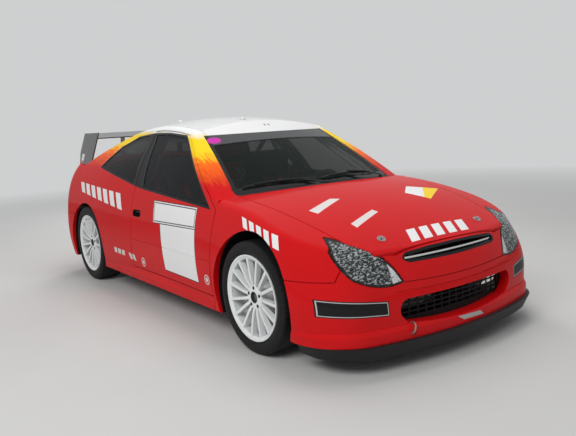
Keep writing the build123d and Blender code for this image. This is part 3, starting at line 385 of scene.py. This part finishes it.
def arch_shadow(shade, colour):
    """Painted shade: the walls of the wheel arches are painted black behind the lip."""
    for cx, cz, radius, lip in ARCHES:
        dx, dz = shade.x - cx, shade.z - cz
        wall = ((dx * dx + dz * dz).root() - radius - 0.0015).inside(0.001)
        colour = shade.mix(colour, BLACK, wall * (lip - shade.side).ramp(-0.002, 0.004))
    return colour


def door_card(shade, colour):
    """The inside of a door is a dark panel."""
    inner = (0.79 - shade.side).ramp(0, 0.004) * (0.83 - shade.z).ramp(0, 0.01)
    return shade.mix(colour, DARK, inner)


# Blank panel and strip on the front bumper, in front view
NOSE_PANEL = [(0.508, 0.295), (0.834, 0.324), (0.834, 0.411), (0.512, 0.371)]
LIP_STRIP = [(-0.034, 0.186), (0.134, 0.180), (0.108, 0.204), (-0.079, 0.212)]


def bumper_panel(shade, colour):
    """Blank black panel with a grey outline on each side of the bumper; a grey strip on the lip."""
    panel = polygon(shade.side, shade.z, NOSE_PANEL)
    ahead = (shade.x - NOSE_FROM_X).ramp(0, 0.01)
    colour = shade.mix(colour, BLACK, panel.inside() * ahead)
    colour = shade.mix(colour, (0.50, 0.50, 0.50), (panel + 0.007).line(0.004) * ahead)
    strip = polygon(shade.y, shade.z, LIP_STRIP)
    return shade.mix(colour, (0.42, 0.42, 0.40), strip.inside() * ahead)


# Upper grille in front view (distance from the middle, z), anticlockwise
SLOT = [(-0.1, 0.526), (0.335, 0.533), (0.360, 0.543), (0.372, 0.557), (0.360, 0.573),
        (0.335, 0.584), (0.180, 0.594), (-0.1, 0.597)]


def slot_rim_and_shade(shade, colour):
    """Black trim round the upper grille, grown into a painted shade of the opening's taller dark mouth.
    """
    rim = polygon(shade.side, shade.z, SLOT)
    # Painted shade: a black band beyond the slot's edges stands in for its dark mouth
    return shade.mix(colour, BLACK, rim.inside() * (shade.x - NOSE_FROM_X).ramp(0, 0.01))


# Blank marks on the bonnet, from above (x, y)
REAR_STRIP = [(1.388, -0.520), (1.446, -0.503), (1.324, -0.235), (1.294, -0.286)]
FRONT_STRIP = [(1.628, -0.427), (1.675, -0.427), (1.575, -0.173), (1.538, -0.184)]
PATCH = [(1.261, 0.391), (1.381, 0.253), (1.515, 0.340), (1.346, 0.604)]


def bonnet_marks(shade, colour):
    """Blank strips and plain bars on the bonnet."""
    strips = polygon(shade.x, shade.y, REAR_STRIP).small(polygon(shade.x, shade.y, FRONT_STRIP))
    colour = shade.mix(colour, (0.72, 0.66, 0.64), strips.inside())
    patch = polygon(shade.x, shade.y, PATCH).inside()
    colour = shade.mix(colour, WHITE, patch)
    yellow = (shade.x + shade.y - 1.80).ramp(0, 0.004)
    colour = shade.mix(colour, YELLOW, patch * yellow)
    word = bars(shade.y, shade.x, (0.262, 1.846), (-0.235, 1.846), (0.100, 0.100), 5)
    return shade.mix(colour, WHITE, word)


def make_paints():
    """Red panels with their marks, the white roof and the white cage."""
    dress("rear_bumper", paint("paint_red_tail", [arch_shadow]))
    dress("front_bumper", paint("paint_red_nose", [bumper_panel, slot_rim_and_shade, arch_shadow]))
    dress("bonnet", paint("paint_red_bonnet", [bonnet_marks]))
    sides = paint("paint_red_sides", [fade, window_surround, side_bars, sill_marks, arch_shadow])
    for node in ("side_frame_left", "side_frame_right", "fender_left", "fender_right", "tailgate"):
        dress(node, sides)
    doors = paint("paint_red_doors", [fade, window_surround, door_panel, sill_marks, handle_recess_and_shade,
                                      door_card])
    for node in ("door_left", "door_right"):
        dress(node, doors)
    white = Shade("paint_white_roof", roughness=0.3, coat_weight=1.0, coat_roughness=0.03)
    colour = white.mix((0.76, 0.76, 0.76), WHITE, white.noise(4.0))
    spots = bars(white.y, white.x, (0.062, 0.229), (-0.008, 0.229), (0.022, 0.022), 2, 0.0, 0.34)
    white.tint(colour, BLACK, spots)
    white.bump(white.noise(900.0, 1.0), 0.00004, 0.35)
    dress("roof_panel", white.material)
    tube = Shade("paint_white_tube", roughness=0.35, coat_weight=0.5)
    tube.tint((0.66, 0.67, 0.66), (0.78, 0.79, 0.78), tube.noise(9.0))
    dress("roll_cage", tube.material)


def make_wheels():
    """White rims with painted shade in their bores and lug holes, steel discs and grooved tyres."""
    disc = Shade("steel_disc", roughness=0.3, metallic=1.0)
    streaks = disc.noise(30.0, stretch=(1, 8, 1))
    disc.tint((0.22, 0.21, 0.20), (0.34, 0.33, 0.32), streaks)
    for end, axle in ENDS:
        rim = Shade(f"paint_white_rim_{end}", roughness=0.28, coat_weight=0.8, coat_roughness=0.05)
        radius, _ = rim.wheel(axle)
        colour = rim.mix((0.70, 0.72, 0.72), (0.80, 0.82, 0.82), rim.noise(12.0))
        # Painted shade: the bore and the lug holes are painted dark on the rim's outer face
        hole_shade = (radius - 0.033).inside()
        for k in range(LUGS):
            turn = math.radians(90 + 360 / LUGS * k)
            dx = rim.x - (axle + LUG_CIRCLE_R * math.cos(turn))
            dz = rim.z - (TYRE_R + LUG_CIRCLE_R * math.sin(turn))
            hole_shade = hole_shade.big(((dx * dx + dz * dz).root() - 0.0105).inside())
        outer = (rim.side - 0.80).ramp(0, 0.002)
        rim.tint(colour, DARK, hole_shade * outer)
        tyre = Shade(f"rubber_tyre_{end}", roughness=0.62, specular_ior_level=0.25)
        radius, angle = tyre.wheel(axle)
        tyre.tint((0.006, 0.006, 0.006), (0.013, 0.013, 0.013), tyre.noise(30.0))
        across = tyre.side - WHEEL_Y
        rings = (radius * (2 * math.pi / 0.0060)).sine()
        rings = rings * ((radius - 0.262).abs() - 0.006).inside(0.003) * 0.25
        rings = rings + (radius - 0.286).line(0.003, 0.002) + (radius - 0.251).line(0.003, 0.002)
        tread = (radius - 0.308).ramp(0, 0.004)
        grooves = (across - 0.022).line(0.009, 0.002).big((across + 0.022).line(0.009, 0.002))
        sipes = (angle * (64 / (2 * math.pi)) + across.abs() * 14.0).fract() - 0.5
        sipes = sipes.line(0.10, 0.06) * (across.abs() - 0.03).ramp(0, 0.004)
        tyre.bump(rings - grooves.big(sipes) * tread * 6.0, 0.0012)
        for side, _ in SIDES:
            dress(f"tyre_{end}_{side}", tyre.material)

            def on_disc(centre, axle=axle):
                flat = math.hypot(centre.x - axle, centre.z - TYRE_R)
                return flat < DISC_R and DISC_Y[0] < abs(centre.y) < DISC_Y[1]

            dress(f"rim_{end}_{side}", rim.material, on_disc, disc.material)


def make_glass():
    """Dark side glass, and a windscreen with its black border and sunstrip."""
    side = Shade("glass_side", base_color=(0.004, 0.006, 0.008), roughness=0.03,
                 specular_ior_level=0.3)
    side.put("Alpha", (side.fresnel() * 0.5 + 0.24).clamp())
    for node in ("quarter_windows", "door_glass_left", "door_glass_right", "rear_window"):
        dress(node, side.material)
    screen = Shade("glass_screen", roughness=0.03, specular_ior_level=0.3)
    u = (screen.x - SCREEN_MID[0]) * -math.cos(SCREEN_SLOPE)
    u = u + (screen.z - SCREEN_MID[1]) * math.sin(SCREEN_SLOPE)
    bow = screen.y * screen.y
    strip = (bow * 0.11 + 0.256 - u).inside(0.003)
    border = (0.575 - u * 0.2018 - screen.side).inside(0.004)
    border = border.big((u + SCREEN_FOOT - 0.055 - bow * FOOT_BOW).inside(0.01))
    dot_u, dot_y = (u - 0.343) * (1 / 0.041), (screen.y + 0.480) * (1 / 0.050)
    oval = ((dot_u * dot_u + dot_y * dot_y).root() - 1).inside(0.05)
    colour = screen.mix((0.010, 0.017, 0.015), (0.055, 0.057, 0.060), strip)
    colour = screen.mix(colour, BLACK, border)
    screen.tint(colour, MAGENTA, oval)
    screen.put("Alpha", (screen.fresnel() * 0.5 + 0.14).clamp().big(strip).big(border))
    dress("windscreen", screen.material)


# Headlamp outline in front view (distance from the middle, z), anticlockwise
LAMP = [(0.406, 0.449), (0.474, 0.440), (0.543, 0.444), (0.610, 0.461), (0.672, 0.490),
        (0.697, 0.531), (0.712, 0.576), (0.716, 0.624), (0.662, 0.676), (0.594, 0.654),
        (0.532, 0.618), (0.479, 0.571), (0.436, 0.514)]


def make_lamps():
    """Faceted headlamp lenses with painted glints, a black rim of painted seam shade and a white inner
    tip, and ribbed tail lamps.
    """
    lens = Shade("glass_lamp", roughness=0.06, specular_ior_level=0.4)
    edge = polygon(lens.side, lens.z, LAMP)
    facets = lens.noise(95.0, 3.0, 0.7, (1.0, 0.6, 1.5))
    # Painted glints: bright, half-metallic spots on the lens stand for light caught in the reflector
    painted_glint = facets.ramp(0.50, 0.60)
    tip = (lens.side - 0.470).inside(0.004)
    colour = lens.mix((0.016, 0.022, 0.021), (0.62, 0.66, 0.66), painted_glint)
    colour = lens.mix(colour, (0.80, 0.82, 0.84), tip * facets.ramp(0.35, 0.45))
    # Painted shade: the lens's outer 9 mm is painted black for the shadow in the seam round it
    lens.tint(colour, BLACK, (-edge - 0.009).inside(0.003))
    lens.put("Metallic", painted_glint * 0.5)
    lens.bump(facets + lens.cells(70.0) * 0.4, 0.0030)
    lens.put("Alpha", (lens.fresnel() * 0.5 + 0.72).clamp())
    dress("headlamps", lens.material)
    red = Shade("plastic_tail_lamp", roughness=0.12, coat_weight=1.0)
    ribs = (red.z * 180.0).sine()
    red.tint((0.28, 0.004, 0.004), (0.5, 0.008, 0.008), ribs.ramp(-1, 1))
    red.bump(ribs, 0.0006)
    dress("tail_lamps", red.material)


# The bright bar in the upper grille, and how fine the reflectors' facets are
BAR_Z = (0.548, 0.562)
BAR_HALF_Y = 0.37
BAR_FRONT_X = 1.925
FACET_SCALE = 75.0


def make_nose():
    """Black slats, a bright bar in the upper slot and faceted reflectors behind the lenses, with painted
    reflection in dark facets.
    """
    slat = Shade("plastic_grille", roughness=0.55, base_color=(0.006, 0.006, 0.007),
                 specular_ior_level=0.15)
    slat.bump(slat.cells(900.0), 0.0002, 0.5)
    mirror = Shade("chrome_reflector", roughness=0.12, metallic=1.0)
    bowl = (mirror.side - GRILLE_HALF_Y).ramp(0, 0.001)
    # Painted reflection: some facets of the chrome reflector are painted dark
    dark = mirror.cell_tint(FACET_SCALE).ramp(0.9, 0.35) * bowl
    mirror.tint((0.85, 0.88, 0.88), (0.03, 0.035, 0.035), dark)
    mirror.bump(mirror.cells(FACET_SCALE) * bowl, 0.004)

    def bright(centre):
        in_lamp = abs(centre.y) > GRILLE_HALF_Y and centre.z > 0.43
        in_slot = BAR_Z[0] < centre.z < BAR_Z[1] and abs(centre.y) < BAR_HALF_Y
        return in_lamp or (in_slot and centre.x > BAR_FRONT_X)

    dress("nose_plastics", slat.material, bright, mirror.material)


def make_plain_shades():
    """Rubber, plastic and bare metal on the other CAD nodes."""
    black = Shade("plastic_black", roughness=0.55, specular_ior_level=0.3)
    black.tint((0.007, 0.007, 0.008), (0.015, 0.015, 0.016), black.noise(40.0))
    black.bump(black.cells(900.0), 0.0002, 0.6)
    for node in ("splitter", "cowl", "arch_liners", "dashboard"):
        dress(node, black.material)
    wing = Shade("paint_dark_wing", roughness=0.35, coat_weight=0.6, coat_roughness=0.08)
    wing.bump(wing.noise(500.0), 0.0001)
    outer_face = (wing.side + (wing.z - 0.976) * 0.336 - 0.702).ramp(0, 0.002)
    label = polygon(wing.x, wing.z, WING_LABEL).inside() * outer_face
    colour = wing.mix((0.012, 0.013, 0.015), (0.020, 0.022, 0.024), wing.noise(14.0))
    sticker = wing.mix((0.55, 0.02, 0.02), (0.72, 0.70, 0.68), (wing.z - 1.015).ramp(0, 0.003))
    wing.tint(colour, sticker, label)
    dress("rear_wing", wing.material)
    rubber = Shade("rubber_seal", roughness=0.8)
    rubber.tint((0.012, 0.012, 0.012), (0.03, 0.03, 0.03), rubber.noise(60.0))
    dress("weather_seals", rubber.material)
    steel = Shade("steel_chassis", roughness=0.45, metallic=0.7)
    steel.tint((0.12, 0.12, 0.125), (0.22, 0.22, 0.22), steel.noise(18.0, 4.0))
    for node in ("front_suspension", "rear_axle", "knuckle_left", "knuckle_right", "exhaust"):
        dress(node, steel.material)
    grey = Shade("paint_floor", roughness=0.5)
    grey.tint((0.10, 0.10, 0.105), (0.16, 0.16, 0.16), grey.noise(8.0, 4.0))
    for node in ("floor_pan", "firewall", "inner_wings"):
        dress(node, grey.material)
    cast = Shade("cast_engine", roughness=0.7, metallic=0.5)
    cast.tint((0.10, 0.10, 0.10), (0.2, 0.2, 0.2), cast.noise(50.0, 4.0))
    cast.bump(cast.noise(300.0), 0.0005)
    dress("engine", cast.material)
    cloth = Shade("fabric_seat", roughness=0.9)
    weave = (cloth.x * 1800.0).sine() * (cloth.z * 1800.0).sine()
    cloth.tint((0.010, 0.010, 0.012), (0.035, 0.035, 0.04), weave.ramp(-1, 1))
    cloth.bump(weave, 0.0003)
    dress("seats", cloth.material)
    hide = Shade("suede_wheel", roughness=0.85)
    hide.tint((0.012, 0.012, 0.012), (0.03, 0.03, 0.03), hide.noise(220.0, 3.0))
    dress("steering_wheel", hide.material)


# Added pieces
def simple_shade(name, colour, roughness, metallic=0.0):
    """A plain finish with a slight mottle."""
    shade = Shade(name, roughness=roughness, metallic=metallic)
    dark = tuple(0.8 * k for k in colour)
    shade.tint(dark, colour, shade.noise(40.0))
    return shade.material


def piece(name, verts, faces, material, body="body", smooth=False):
    """A new mesh object that rides on a CAD body."""
    mesh = bpy.data.meshes.new(name)
    mesh.from_pydata([tuple(v) for v in verts], [], [tuple(f) for f in faces])
    mesh.update()
    tidy = bmesh.new()
    tidy.from_mesh(mesh)
    bmesh.ops.recalc_face_normals(tidy, faces=tidy.faces)
    tidy.to_mesh(mesh)
    tidy.free()
    mesh.materials.append(material)
    for face in mesh.polygons:
        face.use_smooth = smooth
    made = bpy.data.objects.new(name, mesh)
    bpy.context.scene.collection.objects.link(made)
    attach(made, body)
    return made


def joined(*parts):
    """Several (verts, faces) as one."""
    verts, faces = [], []
    for part_verts, part_faces in parts:
        base = len(verts)
        verts += list(part_verts)
        faces += [tuple(k + base for k in face) for face in part_faces]
    return verts, faces


def sweep(points, radius, around, closed=False, flat=1.0):
    """A tube along points; flat squeezes it in height."""
    points = [Vector(p) for p in points]
    verts, faces = [], []
    count = len(points)
    for i, p in enumerate(points):
        ahead = points[(i + 1) % count] if closed else points[min(i + 1, count - 1)]
        behind = points[(i - 1) % count] if closed else points[max(i - 1, 0)]
        direction = (ahead - behind).normalized()
        side = direction.cross(Vector((0, 0, 1)))
        if side.length < 1e-4:
            side = direction.cross(Vector((1, 0, 0)))
        side.normalize()
        lift = side.cross(direction)
        for k in range(around):
            turn = 2 * math.pi * k / around
            across, above = radius * math.cos(turn), radius * flat * math.sin(turn)
            verts.append(p + side * across + lift * above)
    rings = count if closed else count - 1
    for i in range(rings):
        for k in range(around):
            a, b = i * around, ((i + 1) % count) * around
            faces.append((a + k, a + (k + 1) % around, b + (k + 1) % around, b + k))
    if not closed:
        faces.append(tuple(range(around)))
        faces.append(tuple(range((count - 1) * around, count * around)))
    return verts, faces


def turned(profile, at, axis, around=24):
    """A solid of revolution; profile is a list of (distance along the axis, radius)."""
    axis = Vector(axis).normalized()
    side = axis.orthogonal().normalized()
    other = axis.cross(side)
    verts, faces = [], []
    for t, radius in profile:
        for k in range(around):
            turn = 2 * math.pi * k / around
            spoke = side * math.cos(turn) + other * math.sin(turn)
            verts.append(Vector(at) + axis * t + spoke * radius)
    for i in range(len(profile) - 1):
        for k in range(around):
            a, b = i * around, (i + 1) * around
            faces.append((a + k, a + (k + 1) % around, b + (k + 1) % around, b + k))
    faces.append(tuple(range(around)))
    faces.append(tuple(range((len(profile) - 1) * around, len(profile) * around)))
    return verts, faces


def skin(*names):
    """The CAD faces of some nodes as one tree, to lay pieces on."""
    verts, faces = [], []
    for name in names:
        holder = NODES[name]
        base = len(verts)
        verts += [holder.matrix_world @ v.co for v in holder.data.vertices]
        faces += [tuple(k + base for k in face.vertices) for face in holder.data.polygons]
    return BVHTree.FromPolygons(verts, faces)


def from_above(tree, x, y):
    """Point and normal of the uppermost face at (x, y)."""
    at, normal, _, _ = tree.ray_cast(Vector((x, y, 3)), Vector((0, 0, -1)))
    if normal.z < 0:
        normal = -normal
    return at, normal


def screen_foot_x(y):
    """Where the windscreen ends at its foot."""
    return SCREEN_MID[0] + (SCREEN_FOOT - FOOT_BOW * y * y) * math.cos(SCREEN_SLOPE)


PIN_X, PIN_Y = 1.815, 0.390

# Wipers: where the pivot and both ends of the blade are in y
WIPERS = (("wiper_right", -0.02, -0.06, -0.58), ("wiper_left", 0.52, 0.50, -0.02))
BLADE_POINTS = 15


def make_wipers():
    """Two parked wipers along the foot of the windscreen."""
    black = simple_shade("plastic_wiper", (0.015, 0.015, 0.016), 0.4)
    glass = skin("windscreen", "cowl")
    for name, pivot_y, near_y, far_y in WIPERS:
        blade = []
        for k in range(BLADE_POINTS):
            y = near_y + (far_y - near_y) * k / (BLADE_POINTS - 1)
            rise = 0.065 + 0.017 * math.sin(math.pi * k / (BLADE_POINTS - 1))
            at, normal = from_above(glass, screen_foot_x(y) - rise, y)
            blade.append(at + normal * 0.009)
        mid = blade[BLADE_POINTS // 2]
        # The pivot keeps clear of the bonnet's rear edge as it swings up
        at, normal = from_above(glass, screen_foot_x(pivot_y) + 0.008, pivot_y)
        arm = [at + normal * 0.004, at + normal * 0.016]
        arm += [at.lerp(mid, 0.5) + normal * 0.028, mid + normal * 0.016]
        spine = [p + Vector((0.004, 0, 0.006)) for p in blade[2:-2]]
        cap = turned([(0, 0.013), (0.010, 0.012), (0.014, 0.008)], at, normal)
        parts = [sweep(blade, 0.0055, 8), sweep(spine, 0.004, 8), sweep(arm, 0.0075, 8, flat=0.6),
                 cap]
        piece(name, *joined(*parts), black, smooth=True)


def make_bonnet_pins():
    """A pin in a round plate on each side of the bonnet's nose."""
    metal = simple_shade("aluminium_pin", (0.55, 0.56, 0.57), 0.25, 1.0)
    tree = skin("bonnet")
    parts = []
    for y in (-PIN_Y, PIN_Y):
        at, normal = from_above(tree, PIN_X, y)
        plate = [(0.0, 0.024), (0.002, 0.024), (0.0026, 0.021), (0.0026, 0.008)]
        parts.append(turned(plate, at, normal))
        parts.append(turned([(0.0, 0.006), (0.016, 0.006), (0.018, 0.004)], at, normal, 12))
        clip = at + normal * 0.010
        ring = [clip + Vector((0.016 * math.cos(t), 0.016 * math.sin(t), -0.006 * math.cos(t)))
                for t in (2 * math.pi * k / 20 for k in range(20))]
        parts.append(sweep(ring, 0.0014, 6, closed=True))
    piece("bonnet_pins", *joined(*parts), metal, "bonnet", smooth=True)


def make_tow_ring():
    """Ring beside the lower opening, on a short stem."""
    metal = simple_shade("steel_tow_ring", (0.40, 0.37, 0.30), 0.35, 0.8)
    centre = Vector((2.012, -0.392, 0.216))
    ring = [centre + Vector((0.026 * math.cos(t), 0.010 * math.sin(t), 0.028 * math.sin(t)))
            for t in (2 * math.pi * k / 28 for k in range(28))]
    stem = [centre + Vector((-0.09, 0, 0)), centre + Vector((-0.026, 0, 0))]
    parts = [sweep(ring, 0.0048, 10, closed=True), sweep(stem, 0.007, 10)]
    piece("tow_ring", *joined(*parts), metal, smooth=True)


def make_roof_fittings():
    """Low aerial bases on the roof."""
    white = simple_shade("plastic_white_base", (0.74, 0.74, 0.73), 0.4)
    tree = skin("roof_panel")
    parts = []
    for x, y in ((-0.43, -0.34), (0.06, -0.07)):
        at, normal = from_above(tree, x, y)
        dome = [(-0.002, 0.024), (0.006, 0.022), (0.014, 0.014), (0.018, 0.006)]
        parts.append(turned(dome, at, normal))
    piece("aerial_bases", *joined(*parts), white, smooth=True)


# Cabin: pads and harness lie on the faces of the bucket seats.  (x, z) from a seat's own origin
SEAT_AT = (0.1015, 0.370, 0.190)
SEAT_BASE = [(0.238, 0.188), (0.060, 0.161), (-0.168, 0.142)]
SEAT_BACK = [(-0.248, 0.245), (-0.318, 0.482), (-0.388, 0.720)]
PAD_THICK = 0.034
PAD_HALF_Y = 0.186
STRAP_THICK = 0.003


def along(route, t):
    """Point and upward normal at t, 0 to 1, of a route of three (x, z) points."""
    lengths = [math.dist(p, q) for p, q in zip(route, route[1:])]
    far = t * sum(lengths)
    k = 0 if far <= lengths[0] else 1
    far -= k * lengths[0]
    (x0, z0), (x1, z1) = route[k], route[k + 1]
    dx, dz = (x1 - x0) / lengths[k], (z1 - z0) / lengths[k]
    normal = Vector((dz, 0, -dx)) * (1 if dz - dx > 0 else -1)
    return Vector((x0 + dx * far, 0, z0 + dz * far)), normal


def pad_height(s, t, channels):
    """Crown of a pad, sewn across in channels and twice along its length."""
    crown = (1 - abs(s) ** 5) ** 0.5 * (1 - abs(2 * t - 1) ** 7) ** 0.5
    sewn = sum(math.exp(-((t - (k + 1) / channels) / 0.012) ** 2) for k in range(channels - 1))
    sewn = min(sewn * (abs(s) < 0.62) + math.exp(-((abs(s) - 0.62) / 0.03) ** 2), 1)
    return 0.004 + (PAD_THICK - 0.004) * crown * (1 - 0.28 * sewn)


def pad(route, half_width, channels, at):
    """A closed padded cushion on a route."""
    rows, columns = 72, 36
    tops, unders = [], []
    for i in range(rows + 1):
        point, normal = along(route, i / rows)
        for j in range(columns + 1):
            s = 2 * j / columns - 1
            foot = point + Vector((0, s * half_width, 0)) + Vector(at)
            tops.append(foot + normal * pad_height(s, i / rows, channels))
            unders.append(foot + normal * 0.001)
    wide = columns + 1
    base = len(tops)
    faces = []
    for i in range(rows):
        for j in range(columns):
            a = i * wide + j
            faces.append((a, a + 1, a + wide + 1, a + wide))
            faces.append((base + a, base + a + wide, base + a + wide + 1, base + a + 1))
    rim = list(range(columns)) + [i * wide + columns for i in range(rows)]
    rim += [rows * wide + j for j in range(columns, 0, -1)] + [i * wide for i in range(rows, 0, -1)]
    for a, b in zip(rim, rim[1:] + rim[:1]):
        faces.append((a, base + a, base + b, b))
    return tops + unders, faces


def strap(points, width):
    """Flat webbing through (point, normal) pairs."""
    verts, faces = [], []
    for i, (point, normal) in enumerate(points):
        direction = points[min(i + 1, len(points) - 1)][0] - points[max(i - 1, 0)][0]
        side = direction.cross(normal).normalized() * (width / 2)
        lift = normal.normalized() * STRAP_THICK
        verts += [point - side, point + side, point + side + lift, point - side + lift]
    for i in range(len(points) - 1):
        for k in range(4):
            a, b = 4 * i + k, 4 * i + (k + 1) % 4
            faces.append((a, b, b + 4, a + 4))
    last = 4 * (len(points) - 1)
    return verts, faces + [(0, 1, 2, 3), (last, last + 1, last + 2, last + 3)]


def belt_point(t, s, route, half_width, channels, at):
    """A place on top of a pad, with its normal."""
    point, normal = along(route, t)
    lift = pad_height(s, t, channels) + 0.001
    return point + Vector((0, s * half_width, 0)) + Vector(at) + normal * lift, normal


def make_seat_trim():
    """Sewn pads, five-point harness and its round buckle in both seats."""
    cloth = Shade("fabric_pad", roughness=0.95, sheen_weight=0.3)
    weave = (cloth.x * 1500.0).sine() * (cloth.y * 1500.0).sine() * (cloth.z * 1500.0).sine()
    threads = weave.ramp(-0.6, 0.6)
    cloth.tint((0.010, 0.010, 0.012), (0.045, 0.046, 0.05), threads)
    cloth.bump(weave, 0.0003)
    web = Shade("fabric_webbing", roughness=0.8)
    ribs = (web.y * 2200.0).sine()
    web.tint((0.24, 0.006, 0.008), (0.40, 0.010, 0.012), ribs.ramp(-1, 1))
    web.bump(ribs, 0.0003)
    metal = simple_shade("steel_buckle", (0.50, 0.50, 0.50), 0.3, 0.9)
    for side, sign in SIDES:
        at = (SEAT_AT[0], sign * SEAT_AT[1], SEAT_AT[2])
        base = (SEAT_BASE, PAD_HALF_Y, 4, at)
        back = (SEAT_BACK, PAD_HALF_Y, 7, at)
        piece(f"seat_cushion_{side}", *pad(*base), cloth.material, smooth=True)
        piece(f"seat_back_pad_{side}", *pad(*back), cloth.material, smooth=True)
        straps = []
        for s in (-0.42, 0.42):
            run = [belt_point(0.93 - 0.83 * k / 12, s * (1 - 0.5 * k / 12), *back) for k in range(13)]
            lap = [belt_point(0.90 - 0.42 * k / 6, s * 2.1 * (1 - 0.9 * k / 6), *base) for k in range(7)]
            tail = belt_point(0.84, s * 0.35, *base)
            straps += [strap(run + [tail, lap[-1]], 0.050), strap(lap, 0.046)]
        crotch = [belt_point(0.06 + 0.42 * k / 5, 0.0, *base) for k in range(6)]
        straps.append(strap(crotch, 0.044))
        piece(f"harness_{side}", *joined(*straps), web.material)
        point, normal = belt_point(0.49, 0.0, *base)
        round_plate = [(0.002, 0.030), (0.014, 0.030), (0.018, 0.024), (0.020, 0.010)]
        piece(f"buckle_{side}", *turned(round_plate, point, normal), metal, smooth=True)


# Studio
BACKDROP = (0.62, 0.625, 0.63)
WORLD_LEVEL = 0.55
FLOOR_FADE = (4.0, 11.0)
FLOOR_HALF = 60


def area_light(name, at, target, size, power):
    """A soft lamp that shows in no mirror."""
    lamp = bpy.data.lights.new(name, "AREA")
    lamp.shape = "RECTANGLE"
    lamp.size, lamp.size_y = size
    lamp.energy = power
    holder = bpy.data.objects.new(name, lamp)
    holder.visible_glossy = False
    bpy.context.scene.collection.objects.link(holder)
    aim = (Vector(target) - Vector(at)).to_track_quat("-Z", "Y")
    holder.matrix_world = Matrix.Translation(at) @ aim.to_matrix().to_4x4()


def make_studio():
    """A pale floor that fades into the backdrop, a plain world and three lamps."""
    bpy.context.scene.view_settings.view_transform = "Standard"
    mesh = bpy.data.meshes.new("studio_floor")
    corners = [(-1, -1), (1, -1), (1, 1), (-1, 1)]
    mesh.from_pydata([(x * FLOOR_HALF, y * FLOOR_HALF, 0) for x, y in corners], [], [(0, 1, 2, 3)])
    floor = bpy.data.objects.new("studio_floor", mesh)
    bpy.context.scene.collection.objects.link(floor)
    shade = Shade("floor_pale", roughness=0.6, specular_ior_level=0.15)
    shade.tint((0.58, 0.58, 0.57), (0.62, 0.62, 0.61), shade.noise(1.5))
    mesh.materials.append(shade.material)
    tree = shade.tree
    path = tree.nodes.new("ShaderNodeLightPath")
    far = (shade.x * shade.x + shade.y * shade.y).root().ramp(FLOOR_FADE[0], FLOOR_FADE[1])
    glow = tree.nodes.new("ShaderNodeEmission")
    glow.inputs["Color"].default_value = (*BACKDROP, 1)
    blend = tree.nodes.new("ShaderNodeMixShader")
    tree.links.new((far * Field(tree, path.outputs["Is Camera Ray"])).socket, blend.inputs[0])
    tree.links.new(shade.shader.outputs[0], blend.inputs[1])
    tree.links.new(glow.outputs[0], blend.inputs[2])
    tree.links.new(blend.outputs[0], tree.nodes["Material Output"].inputs["Surface"])
    world = bpy.data.worlds.new("studio")
    bpy.context.scene.world = world
    world.use_nodes = True
    tree = world.node_tree
    tree.nodes.clear()
    path = tree.nodes.new("ShaderNodeLightPath")
    seen = Field(tree, path.outputs["Is Camera Ray"])
    for ray in ("Is Glossy Ray", "Is Transmission Ray"):
        seen = seen.big(Field(tree, path.outputs[ray]))
    background = tree.nodes.new("ShaderNodeBackground")
    background.inputs["Color"].default_value = (*BACKDROP, 1)
    tree.links.new((seen * (1 - WORLD_LEVEL) + WORLD_LEVEL).socket, background.inputs["Strength"])
    output = tree.nodes.new("ShaderNodeOutputWorld")
    tree.links.new(background.outputs[0], output.inputs[0])
    area_light("key", (4.0, -6.0, 5.5), (0.3, 0, 0.4), (5.0, 3.2), 380)
    area_light("top", (0, 0.5, 4.6), (0, 0, 0.5), (4.5, 2.4), 95)
    area_light("rear", (-5.5, 3.0, 3.5), (0, 0, 0.6), (3.0, 2.0), 150)


make_camera()
make_studio()
make_paints()
make_wheels()
make_glass()
make_lamps()
make_nose()
make_plain_shades()
make_wipers()
make_bonnet_pins()
make_tow_ring()
make_roof_fittings()
make_seat_trim()
